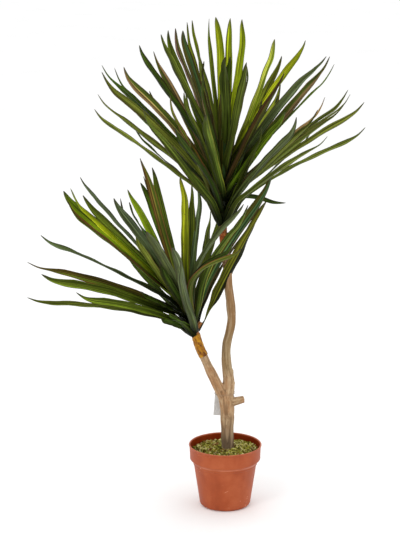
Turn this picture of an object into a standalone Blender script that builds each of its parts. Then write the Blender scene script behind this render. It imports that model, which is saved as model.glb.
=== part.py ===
"""Potted artificial yucca: two crowns of long blades on a forked wooden trunk, cast into a plastic pot.

Metres, +Z up. The origin is the centre of the pot's underside; +X is the viewer's right and -Y the front.
"""

import math

import bmesh
import bpy
from mathutils import Matrix, Vector

MM = 0.001
GAP = 0.3 * MM  # between pieces that touch
BEYOND = 5 * MM  # how far a cutter runs past what it cuts, and a joined shape into its other half

# Pot, from the rim down: a collar, a slanting shoulder, a bead and the tapered wall
POT_HEIGHT = 113 * MM
POT_RIM_RADIUS = 65 * MM
POT_WALL = 1.7 * MM
LIP = 1.2 * MM  # the rim's bead stands out this far from the collar
COLLAR_FOOT_RADIUS = 62.8 * MM
SHOULDER_TOP = 86 * MM
SHOULDER_FOOT = 77.5 * MM
BEAD = 0.8 * MM
WALL_TOP_RADIUS = 56.2 * MM
WALL_FOOT_RADIUS = 44.6 * MM
FOOT_ROUND = 7 * MM
FOOT_RING_RADIUS = 32 * MM  # the foot is a flat ring outside this, with a shallow recess inside it
CENTRE_PAD_RADIUS = 14 * MM
RECESS = 1.5 * MM
INSIDE_CORNER = 4 * MM
POT_SIDES = 48

# Ballast and moss
FILL_CLEARANCE = 0.5 * MM
BALLAST_TOP = 89 * MM
MOSS_EDGE_TOP = 96 * MM
MOSS_CENTRE_TOP = 103 * MM
MOSS_DOME = ((0.3, 1.0), (0.55, 0.9), (0.8, 0.55), (0.93, 0.15))  # shares of the radius and of the rise

# Trunk: (x, y, z, radius) down the middle of the wood, in millimetres
TRUNK_AXIS = (
    (4, 0, 14, 11.0),
    (4, 0, 60, 11.0),
    (4, 0, 104, 11.2),
    (4, 0, 140, 11.6),
    (4, 0, 176, 13.0),
    (2, 1, 204, 13.5),
    (6, 3, 224, 10.8),
    (5, 6, 241, 9.6),
    (2, 9, 260, 8.3),
    (1, 10, 278, 8.0),
    (2.6, 11, 296, 8.0),
    (7, 12, 314, 8.0),
    (10.4, 12, 333, 8.0),
    (10.3, 12, 351, 8.0),
    (7.6, 12, 378, 8.0),
    (4.5, 12, 405, 7.8),
    (3, 12, 432, 7.6),
    (-1, 12, 466, 7.2),
    (-3, 12, 484, 7.0),
)
SIDE_BRANCH_AXIS = (
    (4, 0, 186, 9.0),
    (-7, -2, 210, 10.4),
    (-16, -5, 228, 9.4),
    (-23, -8, 244, 8.8),
    (-30.5, -12, 261, 8.0),
    (-37, -15, 276, 7.6),
    (-43.5, -18, 292, 7.4),
    (-49, -20, 308, 7.2),
)
CUT_STUB_AXIS = ((4, 0, 190, 8.0), (14, -1, 192, 8.0), (24, -2, 194.5, 7.2), (33, -3, 197, 6.4))
SOCKET_DEPTH = 24 * MM
SPIGOT_RADIUS = 3 * MM
SOCKET_RADIUS = 3.6 * MM
TRUNK_SIDES = 12
MOSS_HOLE_RADIUS = 11.8 * MM

# Crown stems: (x, y, z, radius), standing on the ends of the wood
UPPER_STEM_AXIS = ((-5, 12, 512, 6.8), (-5, 12, 560, 6.4), (-4, 12, 618, 5.6))
LOWER_STEM_AXIS = ((-54, -21.5, 328, 6.8), (-66, -24, 364, 6.2), (-82, -27, 409, 5.2))
STEM_FOOT_LENGTH = 8 * MM  # the first stretch of a stem goes straight on from the wood
STEM_END = ((1.5, 0.7), (2.2, 0.25))  # rounding past the last point: (millimetres on, share of its radius)
SPUR_AXIS = ((-55, -21.5, 328, 5.0), (-49, -19.5, 334, 4.6), (-43.5, -17.5, 343, 4.2))
UPPER_CROWN_START, UPPER_CROWN_END = 0.24, 0.97  # shares of the stem's length that carry blades
LOWER_CROWN_START, LOWER_CROWN_END = 0.16, 0.96
WRAP_WALL = 1.0 * MM
WRAP_CLEARANCE = 0.5 * MM
UPPER_WRAP_LENGTH, LOWER_WRAP_LENGTH = 34 * MM, 42 * MM
WRAP_SHARE_BELOW = 0.65  # share of a wrap that grips the wood; the rest grips the crown stem

# Blades, one whorl at a time from the lowest seat up: (turn, lean, length, droop, roll).
# turn is round the stem, 0 to the front and 90 to the right; lean is the blade's angle from the stem at
# its middle; length is in millimetres; droop is how far it bends outwards from seat to tip; a positive
# roll turns its upper face to the front. Angles are in degrees.
UPPER_WHORLS = (
    (
        (-93, 52, 290, 16, -35),
        (-42, 46, 290, 14, -50),
        (42, 55, 290, 14, -25),
        (90, 57, 290, 14, -35),
        (150, 50, 275, 12, 0),
    ),
    (
        (-90, 50, 300, 14, -40),
        (-22, 48, 290, 14, 0),
        (90, 53, 295, 14, -40),
        (176, 62, 290, 16, 0),
        (-136, 57, 290, 16, 0),
    ),
    (
        (-94, 44, 310, 16, -50),
        (-8, 48, 290, 12, 0),
        (82, 50, 285, 12, -45),
        (146, 38, 290, 14, 10),
        (-144, 38, 290, 14, 30),
    ),
    (
        (-74, 42, 290, 14, -60),
        (36, 37, 290, 12, -20),
        (98, 41, 290, 12, 50),
        (174, 25, 285, 10, 0),
        (-136, 30, 290, 10, 10),
    ),
    (
        (-98, 35, 290, 12, -50),
        (12, 36, 280, 10, 10),
        (82, 41, 285, 12, -65),
        (160, 25, 285, 8, 0),
        (-150, 26, 285, 8, -50),
    ),
    (
        (-100, 27, 270, 8, -60),
        (-50, 23, 275, 8, -20),
        (0, 32, 270, 8, 0),
        (118, 37, 280, 10, 40),
        (-172, 25, 275, 6, 0),
    ),
)
LOWER_WHORLS = (
    (
        (-90, 60, 300, 16, -35),
        (-42, 52, 285, 14, 20),
        (8, 50, 285, 10, 0),
        (104, 52, 290, 10, -40),
        (165, 62, 290, 10, 0),
    ),
    (
        (-70, 50, 290, 18, 40),
        (36, 60, 280, 14, -30),
        (100, 48, 300, 8, -30),
    ),
    (
        (-94, 52, 300, 16, 40),
        (8, 48, 285, 10, 0),
        (166, 58, 285, 8, 0),
    ),
    (
        (-97, 44, 300, 14, -30),
        (52, 48, 285, 34, -30),
        (-166, 50, 285, 10, 0),
    ),
    (
        (-106, 29, 300, 6, 65),
        (4, 42, 285, 10, 0),
        (176, 48, 285, 8, 0),
    ),
    (
        (-114, 25, 290, 8, -50),
        (-18, 26, 270, 8, -10),
    ),
    (
        (13, 24, 285, 6, -15),
    ),
)
BLADE_WIDTH = 16 * MM
BLADE_THICKNESS = 1.2 * MM
BLADE_FOLD = math.radians(16)  # each half rises this much from flat, which makes the channel
BLADE_HOOK = math.radians(26)  # how far the last of the tip turns back up
HOOK_START = 0.84
ROLL_BY = 0.35  # share of the length by which a blade has taken its roll
# (share of the length, share of the full width) from seat to tip
BLADE_OUTLINE = (
    (0.0, 0.34), (0.05, 0.38), (0.13, 0.55), (0.23, 0.78), (0.34, 0.93), (0.45, 1.0), (0.56, 1.0),
    (0.67, 0.95), (0.77, 0.84), (0.86, 0.66), (0.93, 0.42), (0.975, 0.2),
)

# Swing tag behind the trunk
TAG_WIDTH, TAG_HEIGHT, TAG_THICKNESS = 24 * MM, 44 * MM, 0.5 * MM
TAG_HOLE_RADIUS = 2.2 * MM
TAG_HOLE_EDGE = 4.5 * MM
TAG_HOLE_PLACE = Vector((-6.5, 17.5, 200)) * MM
TAG_TURN = math.radians(8)
LOOP_RADIUS = 0.45 * MM
LOOP_HEIGHT = 208 * MM
LOOP_ROUND = ((2.4, 1.2, 13.6), (-6.5, -1.8, 11.4))  # the wood at that height: circles of (x, y, radius)
LOOP_CENTRE = Vector((-2, 0))
LOOP_OFF_WOOD = 1.2  # from the wood to the middle of the loop, in millimetres as the circles are
LOOP_STEPS = 16
LOOP_FROM, LOOP_TO = math.radians(-228), math.radians(75)  # it leaves the wood, and returns from the card
LOOP_OVER_CARD = Vector((2, 4, 7)) * MM  # from the hole to where the returning strand clears the card's top

COLOURS = {
    "terracotta plastic": ((0.55, 0.14, 0.06), 0.5),
    "cement": ((0.45, 0.43, 0.4), 0.9),
    "moss": ((0.28, 0.33, 0.08), 0.95),
    "wood": ((0.42, 0.28, 0.16), 0.75),
    "brown plastic": ((0.25, 0.09, 0.03), 0.5),
    "amber wrap": ((0.55, 0.25, 0.03), 0.4),
    "green blade": ((0.09, 0.16, 0.03), 0.45),
    "card": ((0.75, 0.75, 0.74), 0.8),
    "clear nylon": ((0.8, 0.8, 0.8), 0.3),
}


def clear_scene():
    for obj in list(bpy.data.objects):
        bpy.data.objects.remove(obj)


def collection(name):
    made = bpy.data.collections.new(name)
    bpy.context.scene.collection.children.link(made)
    return made


def material(name):
    found = bpy.data.materials.get(name)
    if found:
        return found
    made = bpy.data.materials.new(name)
    made.use_nodes = True
    shader = made.node_tree.nodes["Principled BSDF"]
    colour, roughness = COLOURS[name]
    shader.inputs["Base Color"].default_value = (*colour, 1)
    shader.inputs["Roughness"].default_value = roughness
    return made


def add_object(name, data, into, finish=None):
    obj = bpy.data.objects.new(name, data)
    into.objects.link(obj)
    if finish:
        data.materials.clear()
        data.materials.append(material(finish))
    return obj


def millimetre_points(rows):
    """(place, radius) in metres for rows of (x, y, z, radius) in millimetres."""
    return [(Vector(row[:3]) * MM, row[3] * MM) for row in rows]


def smooth_run(points, per_span):
    """Catmull-Rom points through (place, radius) pairs."""
    padded = [points[0], *points, points[-1]]
    run = []
    for before, start, end, after in zip(padded, padded[1:], padded[2:], padded[3:]):
        for step in range(per_span):
            t = step / per_span
            weights = (
                (-t + 2 * t**2 - t**3) / 2,
                (2 - 5 * t**2 + 3 * t**3) / 2,
                (t + 4 * t**2 - 3 * t**3) / 2,
                (t**3 - t**2) / 2,
            )
            group = (before, start, end, after)
            place = sum((w * p[0] for w, p in zip(weights, group)), Vector())
            run.append((place, sum(w * p[1] for w, p in zip(weights, group))))
    run.append(points[-1])
    return run


def tube_mesh(name, run, sides, capped=True):
    """A round tube through (place, radius) pairs."""
    curve = bpy.data.curves.new(name, "CURVE")
    curve.dimensions = "3D"
    curve.bevel_depth = 1
    curve.bevel_resolution = (sides - 4) // 2
    curve.use_fill_caps = capped
    spline = curve.splines.new("POLY")
    spline.points.add(len(run) - 1)
    for point, (place, radius) in zip(spline.points, run):
        point.co = (*place, 1)
        point.radius = radius
    guide = bpy.data.objects.new(name + "_guide", curve)
    bpy.context.scene.collection.objects.link(guide)
    graph = bpy.context.evaluated_depsgraph_get()
    mesh = bpy.data.meshes.new_from_object(guide.evaluated_get(graph))
    bpy.data.objects.remove(guide)
    shape = bmesh.new()
    shape.from_mesh(mesh)
    bmesh.ops.remove_doubles(shape, verts=shape.verts, dist=0.01 * MM)
    if capped:
        bmesh.ops.recalc_face_normals(shape, faces=shape.faces)
    shape.to_mesh(mesh)
    shape.free()
    mesh.name = name
    return mesh


def shade_round(mesh):
    mesh.shade_smooth()
    mesh.set_sharp_from_angle(angle=math.radians(40))


def turned(name, profile, into, finish):
    """A solid turned round Z from an outline of (radius, height), listed down its outer side from the
    top. No edge is made along the axis, where the outline passes from the outside to the inside."""
    mesh = bpy.data.meshes.new(name)
    pairs = [(i, (i + 1) % len(profile)) for i in range(len(profile))]
    edges = [(i, j) for i, j in pairs if profile[i][0] > 0 or profile[j][0] > 0]
    mesh.from_pydata([(radius, 0, height) for radius, height in profile], edges, [])
    obj = add_object(name, mesh, into, finish)
    screw = obj.modifiers.new("turn", "SCREW")
    screw.steps = screw.render_steps = POT_SIDES
    screw.use_merge_vertices = True
    screw.merge_threshold = 0.00001
    return obj


def boolean(obj, other, operation):
    modifier = obj.modifiers.new(operation.lower(), "BOOLEAN")
    modifier.operation = operation
    modifier.object = other
    modifier.solver = "EXACT"


def helper(name, mesh, into):
    obj = add_object(name, mesh, into)
    obj.hide_render = True
    obj.display_type = "WIRE"
    return obj


def arc(centre, radius, start, end, count):
    """Points of a circle from one angle to another, in degrees."""
    angles = (math.radians(start + (end - start) * i / (count - 1)) for i in range(count))
    return [(centre[0] + radius * math.cos(a), centre[1] + radius * math.sin(a)) for a in angles]


def wall_radius(height):
    """Radius of the outside of the tapered wall."""
    return WALL_FOOT_RADIUS + (WALL_TOP_RADIUS - WALL_FOOT_RADIUS) * height / SHOULDER_FOOT


def inside_outline():
    """(radius, height) up the inside of the pot, from its floor to just under the rim."""
    floor = RECESS + POT_WALL
    low, high = SHOULDER_FOOT + POT_WALL / 2, SHOULDER_TOP + POT_WALL / 2
    return [
        (wall_radius(floor) - POT_WALL - INSIDE_CORNER, floor),
        (wall_radius(floor + INSIDE_CORNER) - POT_WALL, floor + INSIDE_CORNER),
        (wall_radius(low) - POT_WALL, low),
        (COLLAR_FOOT_RADIUS - POT_WALL, high),
        (POT_RIM_RADIUS - LIP - POT_WALL, POT_HEIGHT - LIP),
    ]


def fill_outline(low, high):
    """(radius, height) of a fill between two heights that clears the inside of the pot, from the top."""
    inside = inside_outline()

    def radius(height):
        (r0, z0), (r1, z1) = next(pair for pair in zip(inside, inside[1:]) if pair[1][1] >= height)
        return r0 + (r1 - r0) * (height - z0) / (z1 - z0)

    heights = [high, *(z for _, z in reversed(inside) if low < z < high), low]
    return [(radius(height) - FILL_CLEARANCE, height) for height in heights]


def build_pot(into):
    lip_centre = (POT_RIM_RADIUS - LIP, POT_HEIGHT - LIP)
    foot_centre = (wall_radius(FOOT_ROUND) - FOOT_ROUND, FOOT_ROUND)
    outside = [
        *arc(lip_centre, LIP, 90, -60, 6),
        (POT_RIM_RADIUS - LIP - 0.2 * MM, POT_HEIGHT - 3.5 * LIP),
        (COLLAR_FOOT_RADIUS, SHOULDER_TOP),
        (WALL_TOP_RADIUS + BEAD, SHOULDER_FOOT + BEAD),
        (WALL_TOP_RADIUS + BEAD, SHOULDER_FOOT - BEAD),
        (wall_radius(SHOULDER_FOOT - 3 * BEAD), SHOULDER_FOOT - 3 * BEAD),
        *arc(foot_centre, FOOT_ROUND, 0, -90, 6),
        (FOOT_RING_RADIUS, 0),
        (FOOT_RING_RADIUS - RECESS, RECESS),
        (CENTRE_PAD_RADIUS + RECESS, RECESS),
        (CENTRE_PAD_RADIUS, 0),
        (0, 0),
    ]
    inside = [
        (0, RECESS + POT_WALL),
        *inside_outline(),
        (POT_RIM_RADIUS - LIP - POT_WALL * 0.6, POT_HEIGHT - 0.4 * LIP),
    ]
    turned("pot", outside + inside, into, "terracotta plastic")


def round_cutter(name, radius, depth, segments, into):
    """A cylinder along Z, for a hole."""
    shape = bmesh.new()
    size = {"radius1": radius, "radius2": radius, "depth": depth}
    bmesh.ops.create_cone(shape, cap_ends=True, segments=segments, **size)
    mesh = bpy.data.meshes.new(name)
    shape.to_mesh(mesh)
    shape.free()
    return helper(name, mesh, into)


def wood_hole(name, radius, low, high, into):
    """A cutter round the foot of the wood."""
    cutter = round_cutter(name, radius, high - low, 24, into)
    cutter.location = (TRUNK_AXIS[0][0] * MM, TRUNK_AXIS[0][1] * MM, (low + high) / 2)
    return cutter


def build_ballast(into, cutters):
    low = RECESS + POT_WALL + GAP
    outline = [(0, BALLAST_TOP), *fill_outline(low, BALLAST_TOP), (0, low)]
    ballast = turned("ballast", outline, into, "cement")
    hole_radius = TRUNK_AXIS[0][3] * MM + 2 * GAP
    hole_floor = TRUNK_AXIS[0][2] * MM - GAP
    cutter = wood_hole("ballast_hole", hole_radius, hole_floor, BALLAST_TOP + BEYOND, cutters)
    boolean(ballast, cutter, "DIFFERENCE")


def build_moss(into, cutters):
    low = BALLAST_TOP + GAP
    side = fill_outline(low, MOSS_EDGE_TOP - 1.5 * MM)
    edge, rise = side[0][0], MOSS_CENTRE_TOP - MOSS_EDGE_TOP
    dome = [(edge * share, MOSS_EDGE_TOP + rise * height) for share, height in MOSS_DOME]
    moss = turned("moss", [(0, MOSS_CENTRE_TOP), *dome, *side, (0, low)], into, "moss")
    hole_ends = BALLAST_TOP - BEYOND, MOSS_CENTRE_TOP + BEYOND
    cutter = wood_hole("moss_hole", MOSS_HOLE_RADIUS, *hole_ends, cutters)
    boolean(moss, cutter, "DIFFERENCE")


def along(run, length):
    """The end of a run of (place, radius) pairs, cut to this length, start to end."""
    kept, left = [run[-1]], length
    for (near, near_radius), (far, far_radius) in zip(reversed(run), list(reversed(run))[1:]):
        span = (far - near).length
        if span >= left:
            share = left / span
            kept.append((near.lerp(far, share), near_radius + (far_radius - near_radius) * share))
            return kept[::-1]
        kept.append((far, far_radius))
        left -= span
    return kept[::-1]


def build_trunk(into, cutters):
    """The forked wood with its cut stub. Returns the runs of points of the stem and of the side branch."""
    main = smooth_run(millimetre_points(TRUNK_AXIS), 2)
    side = smooth_run(millimetre_points(SIDE_BRANCH_AXIS), 2)
    stub = smooth_run(millimetre_points(CUT_STUB_AXIS), 2)
    trunk = add_object("trunk", tube_mesh("trunk", main, TRUNK_SIDES), into, "wood")
    boolean(trunk, helper("side_branch", tube_mesh("side_branch", side, TRUNK_SIDES), cutters), "UNION")
    boolean(trunk, helper("cut_stub", tube_mesh("cut_stub", stub, TRUNK_SIDES), cutters), "UNION")
    for name, run in (("upper_socket", main), ("lower_socket", side)):
        bore = [(place, SOCKET_RADIUS) for place, _ in along(run, SOCKET_DEPTH)]
        onward = bore[-1][0] + (bore[-1][0] - bore[-2][0]).normalized() * BEYOND
        socket = helper(name, tube_mesh(name, [*bore, (onward, SOCKET_RADIUS)], 10), cutters)
        boolean(trunk, socket, "DIFFERENCE")
    return main, side


def build_stem(name, rows, wood, into, cutters, spur=None):
    """A crown's stem, with a spigot that fills the socket in the wood below it. Returns its run."""
    (before, _), (end, _) = wood[-2:]
    ahead = (end - before).normalized()
    radius = rows[0][3] * MM
    foot, bend = ((end + ahead * reach, radius) for reach in (GAP, STEM_FOOT_LENGTH))
    run = [foot, *smooth_run([bend, *millimetre_points(rows)], 4)]
    tip, tip_radius = run[-1]
    onward = (tip - run[-2][0]).normalized()
    rounded = [*run, *((tip + onward * reach * MM, tip_radius * share) for reach, share in STEM_END)]
    stem = add_object(name, tube_mesh(name, rounded, 12), into, "brown plastic")
    spigot_run = [(place, SPIGOT_RADIUS) for place, _ in along(wood, SOCKET_DEPTH - 1 * MM)]
    inside = run[0][0] + ahead * BEYOND
    spigot = tube_mesh(name + "_spigot", [*spigot_run, (inside, SPIGOT_RADIUS)], 10)
    boolean(stem, helper(name + "_spigot", spigot, cutters), "UNION")
    if spur:
        shape = tube_mesh(name + "_spur", smooth_run(millimetre_points(spur), 2), 10)
        boolean(stem, helper(name + "_spur", shape, cutters), "UNION")
    return run


def build_wrap(name, wood, stem, length, into):
    """A sleeve over the joint, as wide as the wood and the stem under it need."""
    below = along(wood, length * WRAP_SHARE_BELOW)
    above = [pair for pair in stem if (pair[0] - stem[0][0]).length < length * (1 - WRAP_SHARE_BELOW)]
    clear = WRAP_CLEARANCE / math.cos(math.pi / TRUNK_SIDES)
    run = [(place, radius + clear) for place, radius in [*below, *above[1:]]]
    wrap = add_object(name, tube_mesh(name, run, TRUNK_SIDES, capped=False), into, "amber wrap")
    solidify = wrap.modifiers.new("wall", "SOLIDIFY")
    solidify.thickness = WRAP_WALL
    solidify.offset = 1
    solidify.use_even_offset = False


def smooth_step(value):
    value = min(max(value, 0), 1)
    return value * value * (3 - 2 * value)


def place_on(run, share):
    """(place, radius, direction) at a share of a run's length."""
    lengths = [0]
    for (start, _), (end, _) in zip(run, run[1:]):
        lengths.append(lengths[-1] + (end - start).length)
    wanted = share * lengths[-1]
    i = next(k for k in range(len(run) - 1) if lengths[k + 1] >= wanted or k == len(run) - 2)
    t = (wanted - lengths[i]) / (lengths[i + 1] - lengths[i])
    (start, start_radius), (end, end_radius) = run[i], run[i + 1]
    return start.lerp(end, t), start_radius + (end_radius - start_radius) * t, (end - start).normalized()


def blade_sections(seat, radius, axis, turn, lean, length, droop, roll):
    """(middle, across, up, half width) along one blade, and its tip. The blade bends in the plane through
    the stem's axis and the direction of turn, and takes its roll over the first third of its length."""
    side = (Vector((1, 0, 0)) - axis * axis.x).normalized()
    front = (side.cross(axis)).normalized()
    turn, lean, droop, roll = (math.radians(v) for v in (turn, lean, droop, roll))
    outward = side * math.sin(turn) + front * math.cos(turn)
    to_front = 1 if math.sin(turn) >= 0 else -1

    def heading(share):
        hook = BLADE_HOOK * smooth_step((share - HOOK_START) / (1 - HOOK_START))
        angle = lean + droop * (share - 0.5) - hook
        return axis * math.cos(angle) + outward * math.sin(angle)

    first = heading(0)
    rise = BLADE_OUTLINE[0][1] * BLADE_WIDTH / 2 * math.sin(BLADE_FOLD)
    clear = GAP + 0.1 * MM + max(rise, BLADE_THICKNESS / 2) * abs(first.dot(axis))
    place, sections, last = seat + outward * (radius + clear), [], 0
    for share, width in BLADE_OUTLINE:
        place = place + heading((last + share) / 2) * (share - last) * length
        last = share
        ahead = heading(share)
        up = (axis - ahead * axis.dot(ahead)).normalized()
        up = Matrix.Rotation(roll * to_front * smooth_step(share / ROLL_BY), 3, ahead) @ up
        sections.append((place, ahead.cross(up), up, width * BLADE_WIDTH / 2))
    return sections, place + heading(1) * (1 - last) * length


def blade_mesh(name, sections, tip):
    """A loft of four-cornered sections: two edges, the channel between them and the keel under it.
    Every side is split from its near edge to its far middle, so the thin faces bend alike in a twist."""
    shape = bmesh.new()
    rings = []
    for middle, across, up, half in sections:
        rise = half * math.sin(BLADE_FOLD)
        spread = half * math.cos(BLADE_FOLD)
        thick = BLADE_THICKNESS / 2
        corners = (
            middle - across * spread + up * rise,
            middle + up * thick,
            middle + across * spread + up * rise,
            middle - up * thick,
        )
        rings.append([shape.verts.new(corner) for corner in corners])
    point = shape.verts.new(tip)
    shape.faces.new(rings[0])
    for near, far in zip(rings, rings[1:]):
        for edge in (0, 2):
            for middle in (edge - 1, edge + 1):
                shape.faces.new((near[edge], near[middle], far[middle]))
                shape.faces.new((near[edge], far[middle], far[edge]))
    for i in range(4):
        shape.faces.new((rings[-1][i], rings[-1][i - 1], point))
    bmesh.ops.recalc_face_normals(shape, faces=shape.faces)
    mesh = bpy.data.meshes.new(name)
    shape.to_mesh(mesh)
    shape.free()
    return mesh


def build_crown(prefix, run, whorls, start, end, into):
    number = 0
    for level, whorl in enumerate(whorls):
        share = start + (end - start) * level / (len(whorls) - 1)
        seat, radius, axis = place_on(run, share)
        for turn, lean, length, droop, roll in whorl:
            number += 1
            name = f"{prefix}_{number:02d}"
            sections, tip = blade_sections(seat, radius, axis, turn, lean, length * MM, droop, roll)
            add_object(name, blade_mesh(name, sections, tip), into, "green blade")


def build_tag(into, cutters):
    """A blank card that hangs behind the trunk by a hole near its top edge."""
    bpy.ops.mesh.primitive_cube_add(size=1)
    card = bpy.context.object
    card.name = card.data.name = "tag"
    drop = TAG_HEIGHT / 2 - TAG_HOLE_EDGE
    card.data.transform(Matrix.Diagonal((TAG_WIDTH, TAG_THICKNESS, TAG_HEIGHT, 1)))
    card.data.transform(Matrix.Translation((0, 0, -drop)))
    card.location = TAG_HOLE_PLACE
    card.rotation_euler = (0, TAG_TURN / 2, TAG_TURN)
    card.data.materials.append(material("card"))
    for holder in list(card.users_collection):
        holder.objects.unlink(card)
    into.objects.link(card)
    punch = round_cutter("tag_hole", TAG_HOLE_RADIUS, BEYOND, 16, cutters)
    punch.location = TAG_HOLE_PLACE
    punch.rotation_euler = (math.pi / 2, 0, TAG_TURN)
    boolean(card, punch, "DIFFERENCE")


def reach_of_wood(ray):
    """Distance from the loop's centre to the outside of the wood along a flat direction."""
    reach = 0
    for x, y, radius in LOOP_ROUND:
        to_circle = Vector((x, y)) - LOOP_CENTRE
        ahead = to_circle.dot(ray)
        across = to_circle.length_squared - ahead**2
        if across < radius**2:
            reach = max(reach, ahead + math.sqrt(radius**2 - across))
    return reach


def loop_points():
    """The loop's path: through the card's hole, forwards, round the wood, and back over the card's top."""
    points = [TAG_HOLE_PLACE + Vector((0, side, 0)) * MM for side in (2.5, -2.5)]
    for i in range(LOOP_STEPS):
        angle = LOOP_FROM + (LOOP_TO - LOOP_FROM) * i / (LOOP_STEPS - 1)
        ray = Vector((math.cos(angle), math.sin(angle)))
        flat = (LOOP_CENTRE + ray * (reach_of_wood(ray) + LOOP_OFF_WOOD)) * MM
        points.append(Vector((flat.x, flat.y, LOOP_HEIGHT)))
    points.append(TAG_HOLE_PLACE + LOOP_OVER_CARD)
    return points


def build_tag_loop(into):
    """A fine loop round the trunk and through the tag's hole."""
    pairs = [(point, 0) for point in loop_points()]
    run = smooth_run([pairs[-1], *pairs, pairs[0], pairs[1]], 3)[3 : 3 + 3 * len(pairs)]
    curve = bpy.data.curves.new("tag_loop", "CURVE")
    curve.dimensions = "3D"
    curve.bevel_depth = LOOP_RADIUS
    curve.bevel_resolution = 1
    spline = curve.splines.new("POLY")
    spline.points.add(len(run) - 1)
    for point, (place, _) in zip(spline.points, run):
        point.co = (*place, 1)
    spline.use_cyclic_u = True
    add_object("tag_loop", curve, into, "clear nylon")


def main():
    clear_scene()
    plant = collection("potted_yucca")
    cutters = collection("cutters")
    build_pot(plant)
    build_ballast(plant, cutters)
    build_moss(plant, cutters)
    main_run, side_run = build_trunk(plant, cutters)
    upper = build_stem("upper_crown_stem", UPPER_STEM_AXIS, main_run, plant, cutters)
    lower = build_stem("lower_crown_stem", LOWER_STEM_AXIS, side_run, plant, cutters, SPUR_AXIS)
    build_wrap("upper_wrap", main_run, upper, UPPER_WRAP_LENGTH, plant)
    build_wrap("lower_wrap", side_run, lower, LOWER_WRAP_LENGTH, plant)
    build_crown("leaf_upper", upper, UPPER_WHORLS, UPPER_CROWN_START, UPPER_CROWN_END, plant)
    build_crown("leaf_lower", lower, LOWER_WHORLS, LOWER_CROWN_START, LOWER_CROWN_END, plant)
    build_tag(plant, cutters)
    build_tag_loop(plant)
    for obj in plant.objects:
        if obj.type == "MESH" and not obj.name.startswith(("leaf", "tag")):
            shade_round(obj.data)


main()
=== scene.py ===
"""Looks for the potted yucca: thin leaves, dry wood, bound joints, moss and a moulded pot."""

import math
import random

import bmesh
import bpy
import numpy as np
from mathutils import Matrix, Vector, noise


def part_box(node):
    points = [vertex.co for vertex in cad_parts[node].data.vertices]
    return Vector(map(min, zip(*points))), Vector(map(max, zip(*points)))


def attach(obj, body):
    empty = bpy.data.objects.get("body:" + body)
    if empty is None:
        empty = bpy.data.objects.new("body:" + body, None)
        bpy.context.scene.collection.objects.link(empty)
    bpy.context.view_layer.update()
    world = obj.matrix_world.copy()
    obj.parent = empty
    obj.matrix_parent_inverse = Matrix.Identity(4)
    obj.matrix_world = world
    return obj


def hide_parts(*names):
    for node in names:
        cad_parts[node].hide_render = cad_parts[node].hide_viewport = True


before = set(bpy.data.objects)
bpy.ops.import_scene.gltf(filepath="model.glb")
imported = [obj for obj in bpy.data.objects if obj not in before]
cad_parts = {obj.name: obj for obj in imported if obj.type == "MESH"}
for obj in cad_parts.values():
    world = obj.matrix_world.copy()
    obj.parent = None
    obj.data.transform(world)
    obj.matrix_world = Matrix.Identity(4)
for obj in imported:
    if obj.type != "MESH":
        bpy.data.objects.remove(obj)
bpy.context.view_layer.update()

MM = 0.001

# Places and sizes below are in millimetres. A line's rows are (x, y, z, radius), from its lower end up.
TRUNK_LINE = (
    (4, 0, 14, 11.0),
    (4, 0, 60, 11.0),
    (4, 0, 104, 11.2),
    (4, 0, 140, 11.6),
    (4, 0, 176, 13.0),
    (2, 1, 204, 13.5),
    (6, 3, 224, 10.8),
    (5, 6, 241, 9.6),
    (2, 9, 260, 8.3),
    (1, 10, 278, 8.0),
    (2.6, 11, 296, 8.0),
    (7, 12, 314, 8.0),
    (10.4, 12, 333, 8.0),
    (10.3, 12, 351, 8.0),
    (7.6, 12, 378, 8.0),
    (4.5, 12, 405, 7.8),
    (3, 12, 432, 7.6),
    (-1, 12, 466, 7.2),
    (-3, 12, 484, 7.0),
)
BRANCH_LINE = (
    (4, 0, 186, 9.0),
    (-7, -2, 210, 10.4),
    (-16, -5, 228, 9.4),
    (-23, -8, 244, 8.8),
    (-30.5, -12, 261, 8.0),
    (-37, -15, 276, 7.6),
    (-43.5, -18, 292, 7.4),
    (-49, -20, 308, 7.2),
)
STUB_LINE = ((4, 0, 190, 8.0), (14, -1, 192, 8.0), (24, -2, 194.5, 7.2), (33, -3, 197, 6.4))
UPPER_STEM_LINE = ((-3, 12, 484, 7.0), (-5, 12, 512, 6.8), (-5, 12, 560, 6.4), (-4, 12, 618, 5.6))
LOWER_STEM_LINE = (
    (-49, -20, 308, 7.2),
    (-54, -21.5, 328, 6.8),
    (-66, -24, 364, 6.2),
    (-82, -27, 409, 5.2),
)
SPUR_LINE = ((-55, -21.5, 328, 5.0), (-49, -19.5, 334, 4.6), (-43.5, -17.5, 343, 4.2))
UPPER_BAND_LINE = ((-0.5, 12, 462, 7.3), (-1, 12, 466, 7.2), (-3, 12, 484, 7.0), (-3.8, 12, 496, 6.9))
LOWER_BAND_LINE = (
    (-39.3, -16, 282.5, 7.5),
    (-43.5, -18, 292, 7.4),
    (-49, -20, 308, 7.2),
    (-52.7, -21.1, 322.4, 6.9),
)

# Bumps and pits in the wood: (place, reach, height).
WOOD_KNOBS = (
    ((15, 2, 248), 9, 3.2),
    ((16, -3, 238), 5, 2.2),
    ((17, -2, 227), 6, 3.2),
    ((11, -4, 252), 3.5, -1.6),
    ((14, -4, 245.5), 3.2, 1.8),
    ((13, -6, 242.5), 2.6, -2.2),
    ((14.5, -3, 239.5), 3.2, 1.8),
    ((14, -6, 235.5), 2.6, -2.2),
    ((15, -4, 231.5), 3.6, 2.0),
    ((13, -8, 226.5), 3.0, -1.8),
    ((16, -4, 221), 4.0, 1.6),
    ((-6, -13, 213), 4, -2.0),
    ((3, -10, 236), 5, 1.2),
    ((20, -8, 200), 5, 1.0),
    ((-9, -8, 196), 7, 1.4),
    ((9, -12, 178), 8, 0.9),
    ((10, 6, 300), 5, 0.8),
    ((14, 5, 352), 6, 0.7),
)

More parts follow.
